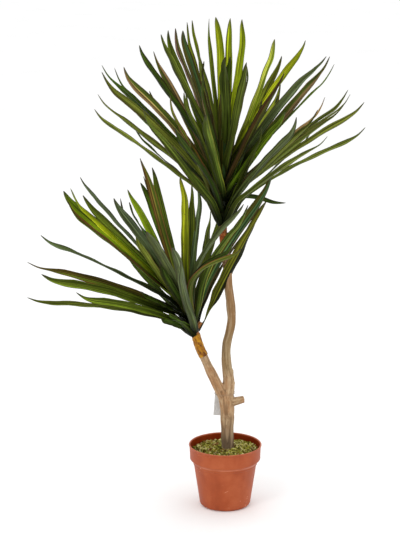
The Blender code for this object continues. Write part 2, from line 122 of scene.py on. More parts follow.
# The knobs' height is painted into the wood's colour as highlight and shade.
KNOB_RELIEF = 1.5  # a knob this high shows at its full strength in the wood's colour
CLEAR_OF_MOSS = 104  # the wood's relief is full above this height

SKIN_FACE = 1.0  # edge of the small faces that the wood and the stems are skinned with
SHEATH_STEP = 4.6  # from one leaf's sheath to the next, up a crown stem

BLADE_WIDTH = 14.6
BLADE_THICKNESS = 0.7
SEAT_GAP = 0.8  # from the stem's surface to the middle of a leaf's foot
HOOK_START, TIP_HOOK = 0.84, 26  # the tip turns back up past this share of the length, by these degrees
ROLLED_BY = 0.35  # share of the length by which a leaf has taken its roll
LEAF_LIGHTNESS = 1.12  # every leaf colour is this much lighter than its paint numbers
OWN_SEEDS, FILL_SEEDS = 1000, 5000  # where the seeds of the frame's leaves and of the filling begin

# Where a blade's skin has its points: shares of its half width, and of its length.
ACROSS = np.array((-1, -0.8, -0.55, -0.28, 0, 0.28, 0.55, 0.8, 1))
ALONG = np.concatenate((np.linspace(0, 0.78, 22), np.linspace(0.8, 0.994, 15)))
# Width shares along a blade, for one that ends in a hair and for one that ends in a point.
WIDTH_MARKS = (0, 0.05, 0.12, 0.22, 0.34, 0.48, 0.6, 0.7, 0.78, 0.85, 0.9, 0.94, 0.97, 1)
HAIR_TIP = (1.08, 1.05, 1, 0.98, 0.98, 1, 1, 0.98, 0.91, 0.72, 0.48, 0.3, 0.2, 0.08)
POINT_TIP = (1.08, 1.05, 1, 0.98, 0.98, 1, 1.02, 1.02, 1.01, 0.98, 0.9, 0.76, 0.54, 0.1)

# Each finish: upper face, its other half, underside, its other half, edge, and the edge's share. The other
# half's colour is partly the leaf's own and partly painted light and shade of the fold.
LEAF_FINISHES = {
    "bright": ((150, 162, 26), (118, 132, 14), (100, 116, 34), (84, 98, 24), (98, 92, 38), 0.14),
    "lemon": ((146, 160, 62), (108, 128, 26), (112, 126, 48), (90, 104, 32), (86, 90, 44), 0.12),
    "vivid": ((104, 128, 16), (82, 104, 12), (92, 116, 20), (70, 88, 14), (72, 72, 24), 0.12),
    "green": ((88, 104, 26), (68, 80, 18), (76, 90, 32), (60, 72, 22), (68, 60, 26), 0.14),
    "blush": ((116, 130, 24), (90, 104, 18), (86, 98, 30), (74, 84, 24), (100, 56, 34), 0.26),
    "rimmed": ((78, 96, 26), (58, 74, 18), (74, 92, 32), (56, 70, 22), (142, 150, 52), 0.14),
    "split": ((28, 32, 12), (98, 98, 18), (30, 34, 12), (94, 96, 22), (56, 52, 18), 0.1),
    "olive": ((104, 116, 32), (84, 92, 24), (96, 106, 40), (76, 84, 28), (82, 70, 38), 0.2),
    "deep": ((60, 80, 14), (46, 60, 12), (56, 76, 20), (44, 56, 14), (44, 38, 16), 0.24),
    "dark": ((54, 80, 46), (72, 70, 20), (56, 80, 44), (70, 68, 22), (66, 42, 24), 0.16),
    "grey": ((98, 114, 74), (82, 94, 52), (86, 98, 66), (68, 78, 44), (58, 58, 38), 0.16),
    "brown": ((64, 78, 22), (118, 100, 66), (62, 76, 26), (112, 94, 60), (108, 84, 54), 0.16),
    "russet": ((86, 100, 26), (74, 66, 20), (80, 92, 28), (82, 62, 26), (104, 60, 32), 0.26),
    "plum": ((128, 104, 88), (84, 84, 44), (122, 98, 82), (78, 76, 40), (84, 58, 50), 0.26),
    "shadow": ((50, 52, 16), (62, 46, 20), (50, 54, 18), (56, 42, 20), (40, 28, 18), 0.2),
}

# Each leaf from the lowest whorl up: finish, breadth, how pointed (1) or hair-like (0) its tip is,
# how much of the frame leaf's line it covers, how far it is rolled about that line in degrees, its
# lead (how far its tip, and then its middle if that has one, lies right of and above that line),
# and its climb, the length over which its foot hugs up the stem.
UPPER_LEAVES = (
    ("olive", 0.95, 0, 1, 0, (7, 11), 20),
    ("green", 0.75, 0, 1, 0, (2, 10), 12),
    ("olive", 0.9, 0, 1, 0, (9, 3), 16),
    ("olive", 0.95, 0, 1, 0, (3, -4), 20),
    ("dark", 0.75, 0.2, 1, 0, (-5, 11), 6),
    ("olive", 1.0, 0, 1, 0, (12, 1), 18),
    ("deep", 0.95, 0.1, 0.95, 0, (-4, -16), 8),
    ("olive", 0.95, 0, 1, 0, (7, 4), 16),
    ("olive", 1, 0, 1, 0, (0, 0), 6),
    ("deep", 1, 0, 1, 0, (0, 0), 6),
    ("deep", 1.1, 0, 1, 0, (0, -1), 10),
    ("rimmed", 1.0, 0.5, 0.94, 0, (-8, -9), 4),
    ("olive", 0.95, 0, 1, 0, (2, -3), 10),
    ("olive", 0.95, 0.3, 1, 0, (2, -1), 4),
    ("brown", 1.0, 0, 1, 0, (-21, 6), 2),
    ("brown", 1.15, 0.1, 1, 0, (10, -8), 6),
    ("shadow", 0.9, 0.3, 0.96, 0, (-5, -5), 2),
    ("brown", 1.1, 0.1, 1, 0, (-5, 3), 6),
    ("bright", 0.95, 0.8, 1, 0, (-5, 21), 0),
    ("green", 0.95, 0.4, 1, 0, (-2, 6), 0),
    ("deep", 1.1, 0.3, 0.97, 0, (7, -12), 4),
    ("green", 1.05, 0.6, 0.96, 0, (-1, -2), 2),
    ("grey", 1.05, 0.2, 0.97, 0, (-16, 5), 4),
    ("bright", 0.95, 0.8, 1, 0, (-8, 1), 0),
    ("blush", 1.05, 0.3, 1, 0, (2, 0), 0),
    ("green", 1.15, 0.5, 0.97, 0, (5, -13), 2),
    ("dark", 1.0, 0.6, 0.98, 0, (4, -11), 0),
    ("green", 1.15, 0.8, 0.9, 0, (-3, -5), 0),
    ("bright", 1.0, 0, 0.97, 0, (-3, -10), 0),
    ("bright", 1.0, 0.9, 0.99, 0, (3, -4), 0),
)
LOWER_LEAVES = (
    ("olive", 1.15, 0, 1, -48, (1, -21), 12),
    ("green", 1.1, 0, 1, -35, (0, -13), 12),
    ("grey", 0.95, 0.4, 1, 0, (-9, 1), 0),
    ("split", 1.55, 1.0, 0.92, -32, (-37, 9, -12, -22), 0),
    ("green", 1, 0, 1, 0, (0, 0), 4),
    ("green", 1.25, 0.2, 1, 0, (2, -2), 9),
    ("blush", 0.75, 0.2, 1, 0, (-10, 13, -38, 16), 6),
    ("dark", 1.4, 0.2, 1, -50, (-6, -2, -35, -33), 0),
    ("russet", 1.1, 0, 1, 0, (4, -6), 4),
    ("grey", 1.0, 0.8, 0.98, 0, (9, 1), 0),
    ("green", 1.05, 0.4, 1, 0, (-5, 10), 0),
    ("grey", 1.2, 0, 1, -25, (11, -13), 4),
    ("grey", 0.8, 0.3, 0.97, 0, (3, -5, -15, -16), 4),
    ("vivid", 0.95, 0.6, 1, 0, (5, 2), 0),
    ("vivid", 1.3, 0.5, 1, 0, (8, -13), 4),
    ("grey", 1.05, 0.7, 0.94, 0, (0, -10), 0),
    ("green", 1, 0.4, 1, 0, (-13, -2), 0),
    ("grey", 1.25, 0.1, 0.97, 0, (9, -6), 2),
    ("grey", 1.1, 0.3, 0.97, 0, (2, -7), 2),
    ("russet", 0.9, 0.2, 1, 0, (5, 4), 0),
)
UPPER_WHORLS = (5, 5, 5, 5, 5, 5)
LOWER_WHORLS = (5, 3, 3, 3, 3, 2, 1)

# Leaves that fill the crowns: share of the crown's height, turn, lean, length, droop, roll, finish,
# breadth, how pointed the tip is, and climb; then how far right and up its middle bows, if it does.
# The fill lines are the stretches of the crown stems that these leaves stand on.
UPPER_FILL_LINE = ((-5, 12, 516, 6.7), (-5, 12, 560, 6.4), (-4, 12, 614, 5.7))
UPPER_FILL = (
    (0.35, -82, 43, 306, 14, -55, "olive", 1.0, 0, 8),
    (0.45, -86, 42, 290, 12, -45, "deep", 0.85, 0, 6),
    (0.6, -135, 53, 236, 10, 10, "deep", 0.8, 0.2, 0),
    (0.4, -46, 26, 215, 12, 0, "green", 0.85, 0.2, 2),
    (0.9, -147, 38, 285, 8, -20, "plum", 0.95, 0.3, 0),
    (0.85, -150, 31, 285, 8, -10, "blush", 0.8, 0.3, 0),
    (0.95, -164, 25, 270, 6, 10, "green", 0.55, 0, 0),
    (0.6, 126, 23, 272, 10, 10, "lemon", 1.05, 0.7, 0),
    (0.55, 119, 48, 304, 12, -50, "vivid", 0.9, 0.1, 4),
    (0.3, 108, 52, 296, 12, -45, "olive", 0.9, 0, 8),
    (0.2, 73, 48, 292, 12, -45, "olive", 0.9, 0, 12),
    (0.25, 66, 44, 274, 12, -40, "brown", 0.85, 0, 8),
    (0.0, 123, 85, 128, 30, -70, "deep", 0.6, 0.3, 6, -19, 21),
    (0.45, 56, 37, 194, 8, -50, "vivid", 0.95, 0.6, 0),
    (0.0, -58, 25, 165, 8, 10, "olive", 0.9, 0.5, 6),
    (0.05, 51, 28, 190, 8, -10, "green", 0.95, 0.4, 6),
    (0.08, -55, 9, 124, 6, 5, "deep", 1.0, 0.5, 2),
    (0.0, -45, 42, 221, 12, -25, "rimmed", 0.85, 0.1, 12),
    (0.05, 52, 40, 244, 12, -35, "grey", 0.95, 0.2, 10),
    (0.12, 59, 44, 266, 12, -40, "olive", 0.9, 0.1, 12),
    (0.35, -57, 31, 224, 8, -20, "russet", 0.85, 0.3, 2),
    (0.55, -29, 23, 229, 8, 15, "brown", 0.9, 0.4, 0),
    (0.6, -7, 18, 196, 6, 0, "dark", 0.95, 0.5, 0),
    (0.4, 53, 24, 196, 8, -50, "deep", 0.95, 0.3, 0),
    (0.0, 118, 52, 230, 12, -20, "deep", 1.0, 0.2, 8),
    (0.0, -122, 52, 235, 12, -20, "deep", 1.0, 0.2, 8),
    (0.1, -160, 48, 280, 14, 0, "green", 1.1, 0.2, 4),
    (0.3, 150, 52, 285, 14, 0, "olive", 1.05, 0.1, 4),
    (0.5, -168, 42, 285, 12, 0, "green", 1.05, 0.4, 0),
    (0.5, 170, 44, 285, 12, 0, "bright", 1.05, 0.5, 0),
    (0.75, -122, 20, 215, 8, -30, "shadow", 1.05, 0.4, 0),
    (0.9, 110, 12, 190, 4, 0, "deep", 0.95, 0.4, 0),
    (0.9, -100, 12, 195, 4, 0, "shadow", 0.95, 0.4, 0),
    (0.85, 180, 14, 205, 4, 0, "deep", 1.05, 0.4, 0),
)
LOWER_FILL_LINE = ((-54, -21.5, 326, 6.8), (-66, -24, 364, 6.2), (-80, -26.6, 404, 5.3))
LOWER_FILL = (
    (0.65, -80, 25, 289, 6, 30, "bright", 0.95, 0.4, 2),
    (0.6, -62, 29, 296, 6, 30, "russet", 1.0, 0.1, 2),
    (0.6, -176, 50, 289, 10, 0, "shadow", 0.9, 0.1, 0),
    (0.55, 168, 56, 289, 10, 0, "bright", 1.15, 0.6, 0),
    (0.5, 163, 60, 282, 8, 0, "grey", 0.8, 0.2, 0),
    (0.0, -66, 47, 66, 4, -70, "deep", 0.85, 0, 8),
    (0.1, 54, 43, 285, 8, -50, "rimmed", 0.85, 0.2, 0, -19, -4),
    (0.35, 35, 56, 266, 12, -50, "deep", 0.75, 0.2, 4, -22, 11),
    (0.02, 144, 68, 293, 6, -10, "shadow", 0.6, 0.3, 0, -22, -13),
    (0.05, -30, 44, 75, 6, 0, "deep", 0.9, 0.3, 2),
    (0.0, -150, 56, 215, 10, 0, "deep", 0.9, 0.1, 4),
    (0.35, -60, 42, 105, 6, 30, "deep", 0.95, 0.3, 2),
    (0.6, -140, 42, 280, 10, 0, "green", 1.0, 0.4, 0),
    (0.4, 140, 52, 270, 10, 0, "green", 0.95, 0.2, 0),
    (0.7, -106, 14, 215, 8, 0, "shadow", 1.0, 0.4, 0),
    (0.9, -60, 10, 190, 6, 0, "dark", 1.0, 0.5, 0),
    (0.5, -30, 22, 190, 6, 0, "olive", 0.95, 0.5, 0),
    (0.85, 180, 20, 210, 6, 0, "deep", 1.0, 0.4, 0),
    (0.3, -5, 34, 170, 8, 0, "deep", 0.95, 0.4, 0),
)

# Binding tape, from the wood it is wound on
TAPE_GAP = 0.5  # to its inner face
TAPE_RISE = 0.75  # to its outer face, where that is lowest
TAPE_LAP = 0.45  # the step where one turn lies on the last
TAPE_PITCH = 8.5
BAND_SIDES = 56

# Pot: the wall widens by its spread from its foot to its top
POT_SIDES = 96
POT_WALL = 1.7
WALL_FOOT_RADIUS, WALL_SPREAD, WALL_TOP = 44.6, 11.6, 77.5
FLOOR_TOP = 3.2
INSIDE_CORNER = 4

# Moss: (radius, height) from the middle outwards, and the well in it, where the trunk stands
MOSS_LINE = ((0, 103), (17, 103), (32, 102.2), (46, 100), (54, 98), (58.5, 96.5), (60.4, 94.5))
BED_RADIUS = 61
BED_FLOOR = 89.6
BED_SIDES = 110
WELL_RADIUS = 12.2
WELL_SHIFT = 4  # the trunk stands this far to the right of the pot's axis
STRAND_DENSITY = 130000.0  # per square metre
STRAND_SEED = 4
STRAND_LIMIT = 60.2  # no strand reaches further than this from the pot's axis

# Stage, in metres and degrees
CAMERA_PLACE = (-0.045, -3.0, 1.156)
CAMERA_PITCH = 13.45  # below level
CAMERA_LENS = 119.4
LIGHTS = (
    ("key", (-1.3, -1.9, 2.4), (0, 0, 0.45), 1.0, 16),
    ("fill", (1.8, -1.6, 1.2), (0, 0, 0.45), 1.4, 3),
    ("top", (0.2, 0.6, 2.6), (0, 0, 0.5), 1.2, 8),
)
FLOOR_REACH = 60


def srgb(red, green, blue):
    """A linear colour from the 0 to 255 numbers of a paint card."""

    def linear(value):
        value /= 255
        return value / 12.92 if value <= 0.04045 else ((value + 0.055) / 1.055) ** 2.4

    return (linear(red), linear(green), linear(blue), 1)


def smooth_step(value):
    value = np.clip(value, 0, 1)
    return value * value * (3 - 2 * value)


# ---------------------------------------------------------------- finishes


class Nodes:
    """A node tree under construction. An input takes another node's output, or a plain value; for a
    colour, that is the 0 to 255 numbers of a paint card."""

    def __init__(self, tree):
        self.tree = tree

    def node(self, kind, inputs=None, **settings):
        node = self.tree.nodes.new(kind)
        for key, value in settings.items():
            setattr(node, key, value)
        for key, value in (inputs or {}).items():
            self.feed(node.inputs[key], value)
        return node

    def feed(self, socket, value):
        if isinstance(value, bpy.types.NodeSocket):
            self.tree.links.new(value, socket)
        else:
            socket.default_value = srgb(*value) if socket.type == "RGBA" else value


class Finish(Nodes):
    """A material under construction, with short names for the nodes it is made of."""

    def __init__(self, name, roughness=0.5, **sockets):
        self.material = bpy.data.materials.new(name)
        self.material.use_nodes = True
        super().__init__(self.material.node_tree)
        self.shader = self.tree.nodes["Principled BSDF"]
        self.shader.inputs["Roughness"].default_value = roughness
        for socket, value in sockets.items():
            self.shader.inputs[socket.replace("_", " ")].default_value = value

    def math(self, operation, *values):
        node = self.node("ShaderNodeMath", operation=operation)
        for socket, value in zip(node.inputs, values):
            self.feed(socket, value)
        return node.outputs[0]

    def times(self, *values):
        return self.math("MULTIPLY", *values)

    def plus(self, *values):
        return self.math("ADD", *values)

    def stretched(self, value, factor, shift):
        return self.math("MULTIPLY_ADD", value, factor, shift)

    def frayed(self, value, cloud, spread):
        """The value, moved up or down by the cloud, over this spread in all."""
        return self.plus(value, self.stretched(cloud, spread, -spread / 2))

    def blend(self, share, first, second, kind="MIX"):
        node = self.node("ShaderNodeMix", data_type="RGBA", blend_type=kind)
        for socket, value in zip((node.inputs[0], node.inputs[6], node.inputs[7]), (share, first, second)):
            self.feed(socket, value)
        return node.outputs[2]

    def band(self, value, low, high, to_low=0.0, to_high=1.0):
        """Turns value's span from low to high into a soft step between two numbers."""
        node = self.node("ShaderNodeMapRange", interpolation_type="SMOOTHSTEP")
        for socket, number in zip(node.inputs, (value, low, high, to_low, to_high)):
            self.feed(socket, number)
        return node.outputs[0]

    def scaled(self, vector, scale):
        return self.node("ShaderNodeMapping", {"Vector": vector, "Scale": scale}).outputs[0]

    def cloud(self, vector, scale, detail=3.0, roughness=0.55, warp=0.0):
        inputs = {"Vector": vector, "Scale": scale, "Detail": detail}
        inputs |= {"Roughness": roughness, "Distortion": warp}
        return self.node("ShaderNodeTexNoise", inputs).outputs[0]

    def ramp(self, value, stops):
        node = self.node("ShaderNodeValToRGB", {"Fac": value})
        band = node.color_ramp
        while len(band.elements) < len(stops):
            band.elements.new(0.5)
        for element, (place, colour) in zip(band.elements, stops):
            element.position = place
            element.color = srgb(*colour)
        return node.outputs[0]

    def place(self):
        return self.node("ShaderNodeTexCoord").outputs["Object"]

    def stored(self, name, output="Vector"):
        return self.node("ShaderNodeAttribute", attribute_name=name).outputs[output]

    def parts(self, vector):
        return self.node("ShaderNodeSeparateXYZ", {"Vector": vector}).outputs

    def joined(self, x, y, z):
        return self.node("ShaderNodeCombineXYZ", {"X": x, "Y": y, "Z": z}).outputs[0]

    def bump(self, height, distance, strength=1.0):
        inputs = {"Height": height, "Distance": distance, "Strength": strength}
        node = self.node("ShaderNodeBump", inputs)
        self.feed(self.shader.inputs["Normal"], node.outputs[0])

    def colour(self, socket):
        self.feed(self.shader.inputs["Base Color"], socket)

    def sheen(self, socket):
        self.feed(self.shader.inputs["Roughness"], socket)


def leaf_finish():
    """Coated leaf: bands and fine lines along it, a midrib, tinted edges, a dry tip, halves partly painted
    as light and shade of the fold, and painted shade darkening its lower part and foot.
    """
    f = Finish("coated leaf", Specular_IOR_Level=0.04)
    u, v, _ = f.parts(f.node("ShaderNodeUVMap", uv_map="blade").outputs[0])
    edge_share, seed, under = f.parts(f.stored("leaf_marks"))
    shift = f.stretched(seed, 0.36, -0.18)
    aside = f.math("ABSOLUTE", f.stretched(u, 2.0, -1.0))
    offset = f.times(seed, 37.0)

    def lines(count, drift, place):
        across = f.stretched(u, count, f.plus(offset, place))
        return f.cloud(f.joined(across, f.times(v, drift), offset), 1.0, 2.0)

    bands = lines(4.5, 1.2, 0.0)
    fine = lines(10.5, 2.0, 5.0)
    hairlines = lines(34.0, 3.0, 31.0)
    dark_lines = lines(10.0, 1.2, 11.0)
    pale_lines = lines(10.0, 1.0, 23.0)
    along = f.cloud(f.joined(offset, f.times(v, 5.0), 0.0), 1.0, 3.0)

    # The two halves of the folded blade take two colours: partly the leaf's own two tones, partly painted
    # light and shade of the fold.
    half = f.band(f.frayed(u, bands, 0.5), 0.44, 0.58)
    tone = f.blend(half, f.stored("leaf_tone", "Color"), f.stored("leaf_half_tone_and_shade", "Color"))
    # Painted shade: the lower part of each leaf is multiplied darker and yellower, more so towards the foot.
    lower_shade = f.band(f.frayed(v, bands, 0.2), 0.28, 0.72, 0.8, 0.0)
    tone = f.blend(lower_shade, tone, f.blend(1.0, tone, (196, 204, 170), "MULTIPLY"))

    shade = f.band(bands, 0.34, 0.66, 0.68, 1.26)
    for cloud, *span in (
        (fine, 0.37, 0.63, 0.54, 1.46),
        (hairlines, 0.36, 0.64, 0.8, 1.2),
        (along, 0.3, 0.7, 0.84, 1.14),
        (dark_lines, 0.53, 0.62, 1.0, 0.46),
        (pale_lines, 0.54, 0.64, 1.0, 1.6),
    ):
        shade = f.times(shade, f.band(cloud, *span))
    rib_off = f.math("ABSOLUTE", f.math("SUBTRACT", u, f.stretched(seed, 0.06, 0.47)))
    rib = f.band(rib_off, 0.015, 0.05, 1.0, 0.0)
    rib_shade = f.stretched(under, 0.95, -0.45)
    shade = f.times(shade, f.stretched(rib, rib_shade, 1.0))
    shaded = f.blend(1.0, tone, f.joined(shade, shade, shade), "MULTIPLY")

    edge_side = f.math("ABSOLUTE", f.plus(f.stretched(u, 2.0, -1.0), shift))
    ragged = f.frayed(edge_side, along, 0.3)
    inner_edge = f.math("SUBTRACT", 1.0, edge_share)
    edge = f.band(ragged, inner_edge, f.plus(inner_edge, 0.16))
    edged = f.blend(f.times(edge, 0.85), shaded, f.stored("leaf_edge", "Color"))
    edged = f.blend(f.band(aside, 0.88, 1.0, 0.0, 0.5), edged, (44, 44, 24))

    # Painted shade at the foot: the lower part of each leaf fades to near black where it enters the crown
    # heart, further up on the upper face than on the underside.
    reach = f.stretched(under, -0.3, 0.48)
    foot = f.band(f.frayed(v, bands, 0.14), 0.03, reach, 0.94, 0.0)
    with_foot_shade = f.blend(foot, edged, (11, 17, 4))
    end = f.band(f.frayed(v, bands, 0.08), 0.92, 1.0, 0.0, 0.7)
    tipped = f.blend(end, with_foot_shade, (62, 56, 50))
    spots = f.cloud(f.joined(f.times(u, 4.0), f.times(v, 40.0), offset), 1.0, 2.0)
    f.colour(f.blend(f.band(spots, 0.64, 0.72, 0.0, 0.4), tipped, (92, 72, 36)))
    f.sheen(f.band(bands, 0.2, 0.8, 0.42, 0.58))
    ribs = f.stretched(hairlines, 0.4, fine)
    f.bump(f.plus(ribs, f.times(rib, -0.6)), 0.0005, 0.8)
    return f.material


def wood_finish():
    """Dry barked wood: lengthwise fibres and cracks, tan above and weathered grey near the moss, with
    painted highlights on its ridges and knobs and painted shade in its grooves and pits.
    """
    f = Finish("dry wood", 0.75, Specular_IOR_Level=0.15)
    grain = f.stored("grain")
    z = f.parts(f.place())[2]
    streaks = f.cloud(f.scaled(grain, (1, 1, 0.5)), 3.2, 4.0, 0.6)
    fibres = f.cloud(f.scaled(grain, (1, 1, 0.7)), 11.0, 3.0, 0.6)
    patches = f.cloud(f.place(), 26.0, 3.0)
    tans = (
        (0.28, (138, 108, 76)),
        (0.44, (164, 133, 98)),
        (0.58, (180, 150, 115)),
        (0.74, (194, 170, 136)),
    )
    tan = f.ramp(streaks, tans)
    mottles = f.cloud(f.place(), 120.0, 4.0, 0.65)
    dusty = f.blend(f.band(mottles, 0.48, 0.62, 0.0, 0.45), tan, (196, 168, 132))
    dotted = f.blend(f.band(mottles, 0.36, 0.46, 0.4, 0.0), dusty, (128, 98, 66))
    warm = f.blend(f.band(patches, 0.42, 0.62, 0.0, 0.6), dotted, (168, 120, 80))
    trunk = f.band(f.parts(grain)[0], 3.0, 4.0, 1.0, 0.0)
    olive = f.times(f.band(z, 0.235, 0.26, 0.0, 0.7), f.band(z, 0.31, 0.35, 1.0, 0.0))
    aged = f.blend(f.times(olive, trunk), warm, (138, 118, 80))
    brown = f.blend(f.times(f.band(z, 0.27, 0.33, 0.0, 0.7), trunk), aged, (130, 100, 64))
    low = f.frayed(z, streaks, 0.08)
    grey = f.blend(f.band(low, 0.11, 0.19, 0.9, 0.0), brown, (98, 84, 66))
    # Painted highlight on the ridges and knobs and painted shade in the grooves, cracks and pits, read from
    # the stored relief.
    relief = f.stored("relief", "Fac")
    ridge_highlight = f.blend(f.band(relief, 0.1, 0.55, 0.0, 0.34), grey, (200, 176, 142))
    groove_shade = f.blend(f.band(relief, -0.6, -0.14, 0.5, 0.0), ridge_highlight, (100, 76, 52))
    cracks = f.band(fibres, 0.32, 0.43, 0.38, 0.0)
    f.colour(f.blend(cracks, groove_shade, (96, 74, 52)))
    f.sheen(f.band(patches, 0.3, 0.7, 0.62, 0.84))
    f.bump(f.plus(fibres, f.times(streaks, 0.8)), 0.0012, 0.8)
    return f.material


def stem_finish(name, deep, main, light):
    """Moulded crown stem: mottled rusty plastic with dark specks, turned nearly black by painted shade where
    it runs up among the leaves.
    """
    f = Finish(name, 0.5, Specular_IOR_Level=0.2)
    grain = f.stored("grain")
    mottles = f.cloud(f.scaled(grain, (1, 1, 2.0)), 5.0, 3.0)
    rust = f.ramp(mottles, ((0.3, deep), (0.5, main), (0.68, light)))
    specks = f.cloud(f.place(), 420.0, 2.0)
    speckled = f.blend(f.band(specks, 0.58, 0.7, 0.0, 0.5), rust, deep)
    # Painted shade: the stem turns nearly black where it runs up in among the leaves.
    up = f.frayed(f.parts(grain)[2], mottles, 0.3)
    f.colour(f.blend(f.band(up, 0.8, 1.0), speckled, (20, 26, 12)))
    f.sheen(f.band(mottles, 0.3, 0.7, 0.4, 0.6))
    f.bump(f.plus(mottles, f.times(specks, 0.4)), 0.0006)
    return f.material


def band_finish(name, deep, main, light):
    """Amber binding: mottled and glossy, with fine stretch lines round it."""
    f = Finish(name, 0.36, Specular_IOR_Level=0.16, Coat_Weight=0.06, Coat_Roughness=0.2)
    grain = f.stored("grain")
    patches = f.cloud(f.scaled(grain, (1, 1, 1.6)), 1.9, 3.0, 0.6, 0.6)
    lines = f.cloud(f.scaled(grain, (0.5, 0.5, 9.0)), 5.0, 2.0)
    amber = f.ramp(patches, ((0.36, deep), (0.48, main), (0.6, light)))
    f.colour(f.blend(f.band(lines, 0.4, 0.7, 0.0, 0.35), amber, deep))
    f.sheen(f.band(patches, 0.3, 0.7, 0.24, 0.42))
    f.bump(f.plus(f.times(lines, 0.6), patches), 0.0005)
    return f.material


def pot_finish(name, tones, wear, gloss):
    """Moulded terracotta plastic: cloudy colour, faint flow marks, fine scuffs, a rim top lightened partly
    by rubbing and partly by painted highlight, and a painted highlight line under the collar.
    """
    f = Finish(name, 0.5, Specular_IOR_Level=gloss)
    place = f.place()
    clouds = f.cloud(place, 22.0, 4.0, 0.6)
    grainy = f.cloud(place, 320.0, 3.0)
    flow = f.cloud(f.scaled(place, (60, 60, 6)), 1.0, 3.0)
    base = f.ramp(clouds, ((0.34, tones[0]), (0.5, tones[1]), (0.66, tones[2])))
    base = f.blend(f.band(flow, 0.45, 0.7, 0.0, 0.35), base, tones[2])
    base = f.blend(f.band(grainy, 0.55, 0.75, 0.0, 0.25), base, tones[0])
    turning = {"Vector": place, "Angle": 0.5}
    tilted = f.node("ShaderNodeVectorRotate", turning, rotation_type="Y_AXIS").outputs[0]
    scratch = f.cloud(f.scaled(tilted, (46, 200, 620)), 1.0, 1.0, 0.3)
    rare = f.cloud(place, 34.0, 1.0)
    scuff = f.times(f.band(scratch, 0.69, 0.74), f.band(rare, 0.57, 0.65))
    base = f.blend(f.times(scuff, wear), base, (226, 158, 124))
    z = f.parts(place)[2]
    # Lighter band round the rim top: partly rubbed wear, partly painted highlight.
    rim = f.times(f.band(z, 0.1115, 0.1128, 0.0, 0.5), f.band(clouds, 0.35, 0.6, 0.3, 1.0))
    # Painted highlight: a broken pale line just under the collar's lower edge.
    highlight_breakup = f.band(flow, 0.36, 0.6, 0.12, 0.5)
    below_collar_breakup = f.times(f.band(z, 0.0832, 0.0844, 1.0, 0.0), highlight_breakup)
    bead = f.times(f.band(z, 0.0806, 0.0816), below_collar_breakup)
    f.colour(f.blend(f.math("MAXIMUM", rim, bead), base, (206, 128, 98)))
    f.sheen(f.band(clouds, 0.3, 0.7, 0.42, 0.58))
    f.bump(f.plus(f.times(grainy, 0.3), flow), 0.0003, 0.5)
    return f.material


def moss_bed_finish():
    """The matted bed under the strands."""
    f = Finish("moss bed", 0.9, Specular_IOR_Level=0.1)
    tufts = f.cloud(f.place(), 260.0, 4.0, 0.65)
    patches = f.cloud(f.place(), 60.0, 2.0)
    bed = f.ramp(tufts, ((0.34, (46, 34, 12)), (0.5, (92, 84, 32)), (0.64, (140, 136, 62))))
    f.colour(f.blend(f.band(patches, 0.5, 0.7, 0.0, 0.5), bed, (88, 66, 30)))
    f.sheen(f.band(tufts, 0.3, 0.7, 0.8, 0.95))
    f.bump(tufts, 0.003)
    return f.material


def moss_strand_finish():
    """Curly moss: each strand its own green, some pale and a few dry."""
    f = Finish("moss strands", 0.85, Specular_IOR_Level=0.1)
    tone = f.stored("strand_tone", "Fac")
    greens = f.ramp(
        tone,
        (
            (0.0, (56, 44, 10)),
            (0.2, (122, 116, 38)),
            (0.42, (166, 164, 60)),
            (0.64, (196, 190, 98)),
            (0.84, (232, 222, 158)),
            (0.93, (132, 80, 34)),
        ),
    )
    fuzz = f.cloud(f.place(), 700.0, 2.0)
    f.colour(f.blend(f.band(fuzz, 0.4, 0.65, 0.0, 0.45), greens, (104, 94, 34)))
    f.sheen(f.band(fuzz, 0.3, 0.7, 0.75, 0.95))
    f.bump(fuzz, 0.0006)
    return f.material


def cement_finish():
    f = Finish("cement", 0.9)
    sand = f.cloud(f.place(), 500.0, 4.0, 0.7)
    patches = f.cloud(f.place(), 30.0, 3.0)
    grey = f.ramp(sand, ((0.3, (104, 100, 94)), (0.55, (146, 142, 134)), (0.75, (176, 172, 164))))
    f.colour(f.blend(f.band(patches, 0.4, 0.65, 0.0, 0.5), grey, (124, 116, 104)))
    f.sheen(f.band(sand, 0.3, 0.7, 0.8, 0.95))
    f.bump(sand, 0.001)
    return f.material


def card_finish():
    f = Finish("pale card", 0.7)
    fibres = f.cloud(f.scaled(f.place(), (900, 900, 260)), 1.0, 3.0)
    soil = f.cloud(f.place(), 90.0, 3.0)
    paper = f.ramp(fibres, ((0.3, (196, 196, 194)), (0.6, (222, 222, 220))))
    f.colour(f.blend(f.band(soil, 0.45, 0.7, 0.0, 0.5), paper, (188, 184, 178)))
    f.sheen(f.band(fibres, 0.3, 0.7, 0.6, 0.8))
    f.bump(fibres, 0.0002)
    return f.material


def nylon_finish():
    f = Finish("clear nylon", 0.25)
    haze = f.cloud(f.place(), 600.0, 2.0)
    f.colour(f.ramp(haze, ((0.3, (138, 112, 84)), (0.7, (158, 132, 102)))))
    f.sheen(f.band(haze, 0.3, 0.7, 0.2, 0.34))
    f.bump(haze, 0.0001)
    return f.material


def floor_finish():
    f = Finish("pale floor", 0.9)
    mottle = f.cloud(f.place(), 3.0, 3.0)
    f.colour(f.ramp(mottle, ((0.3, (246, 246, 246)), (0.7, (250, 250, 250)))))
    return f.material


# ---------------------------------------------------------------- shared shapes


def placed(name, data):
    """A new object in the scene."""
    thing = bpy.data.objects.new(name, data)
    bpy.context.scene.collection.objects.link(thing)
    return thing


def settled(holder):
    """The mesh that a holder's modifiers make; the holder goes."""
    graph = bpy.context.evaluated_depsgraph_get()
    mesh = bpy.data.meshes.new_from_object(holder.evaluated_get(graph))
    holder.modifiers.clear()
    bpy.data.objects.remove(holder)
    return mesh


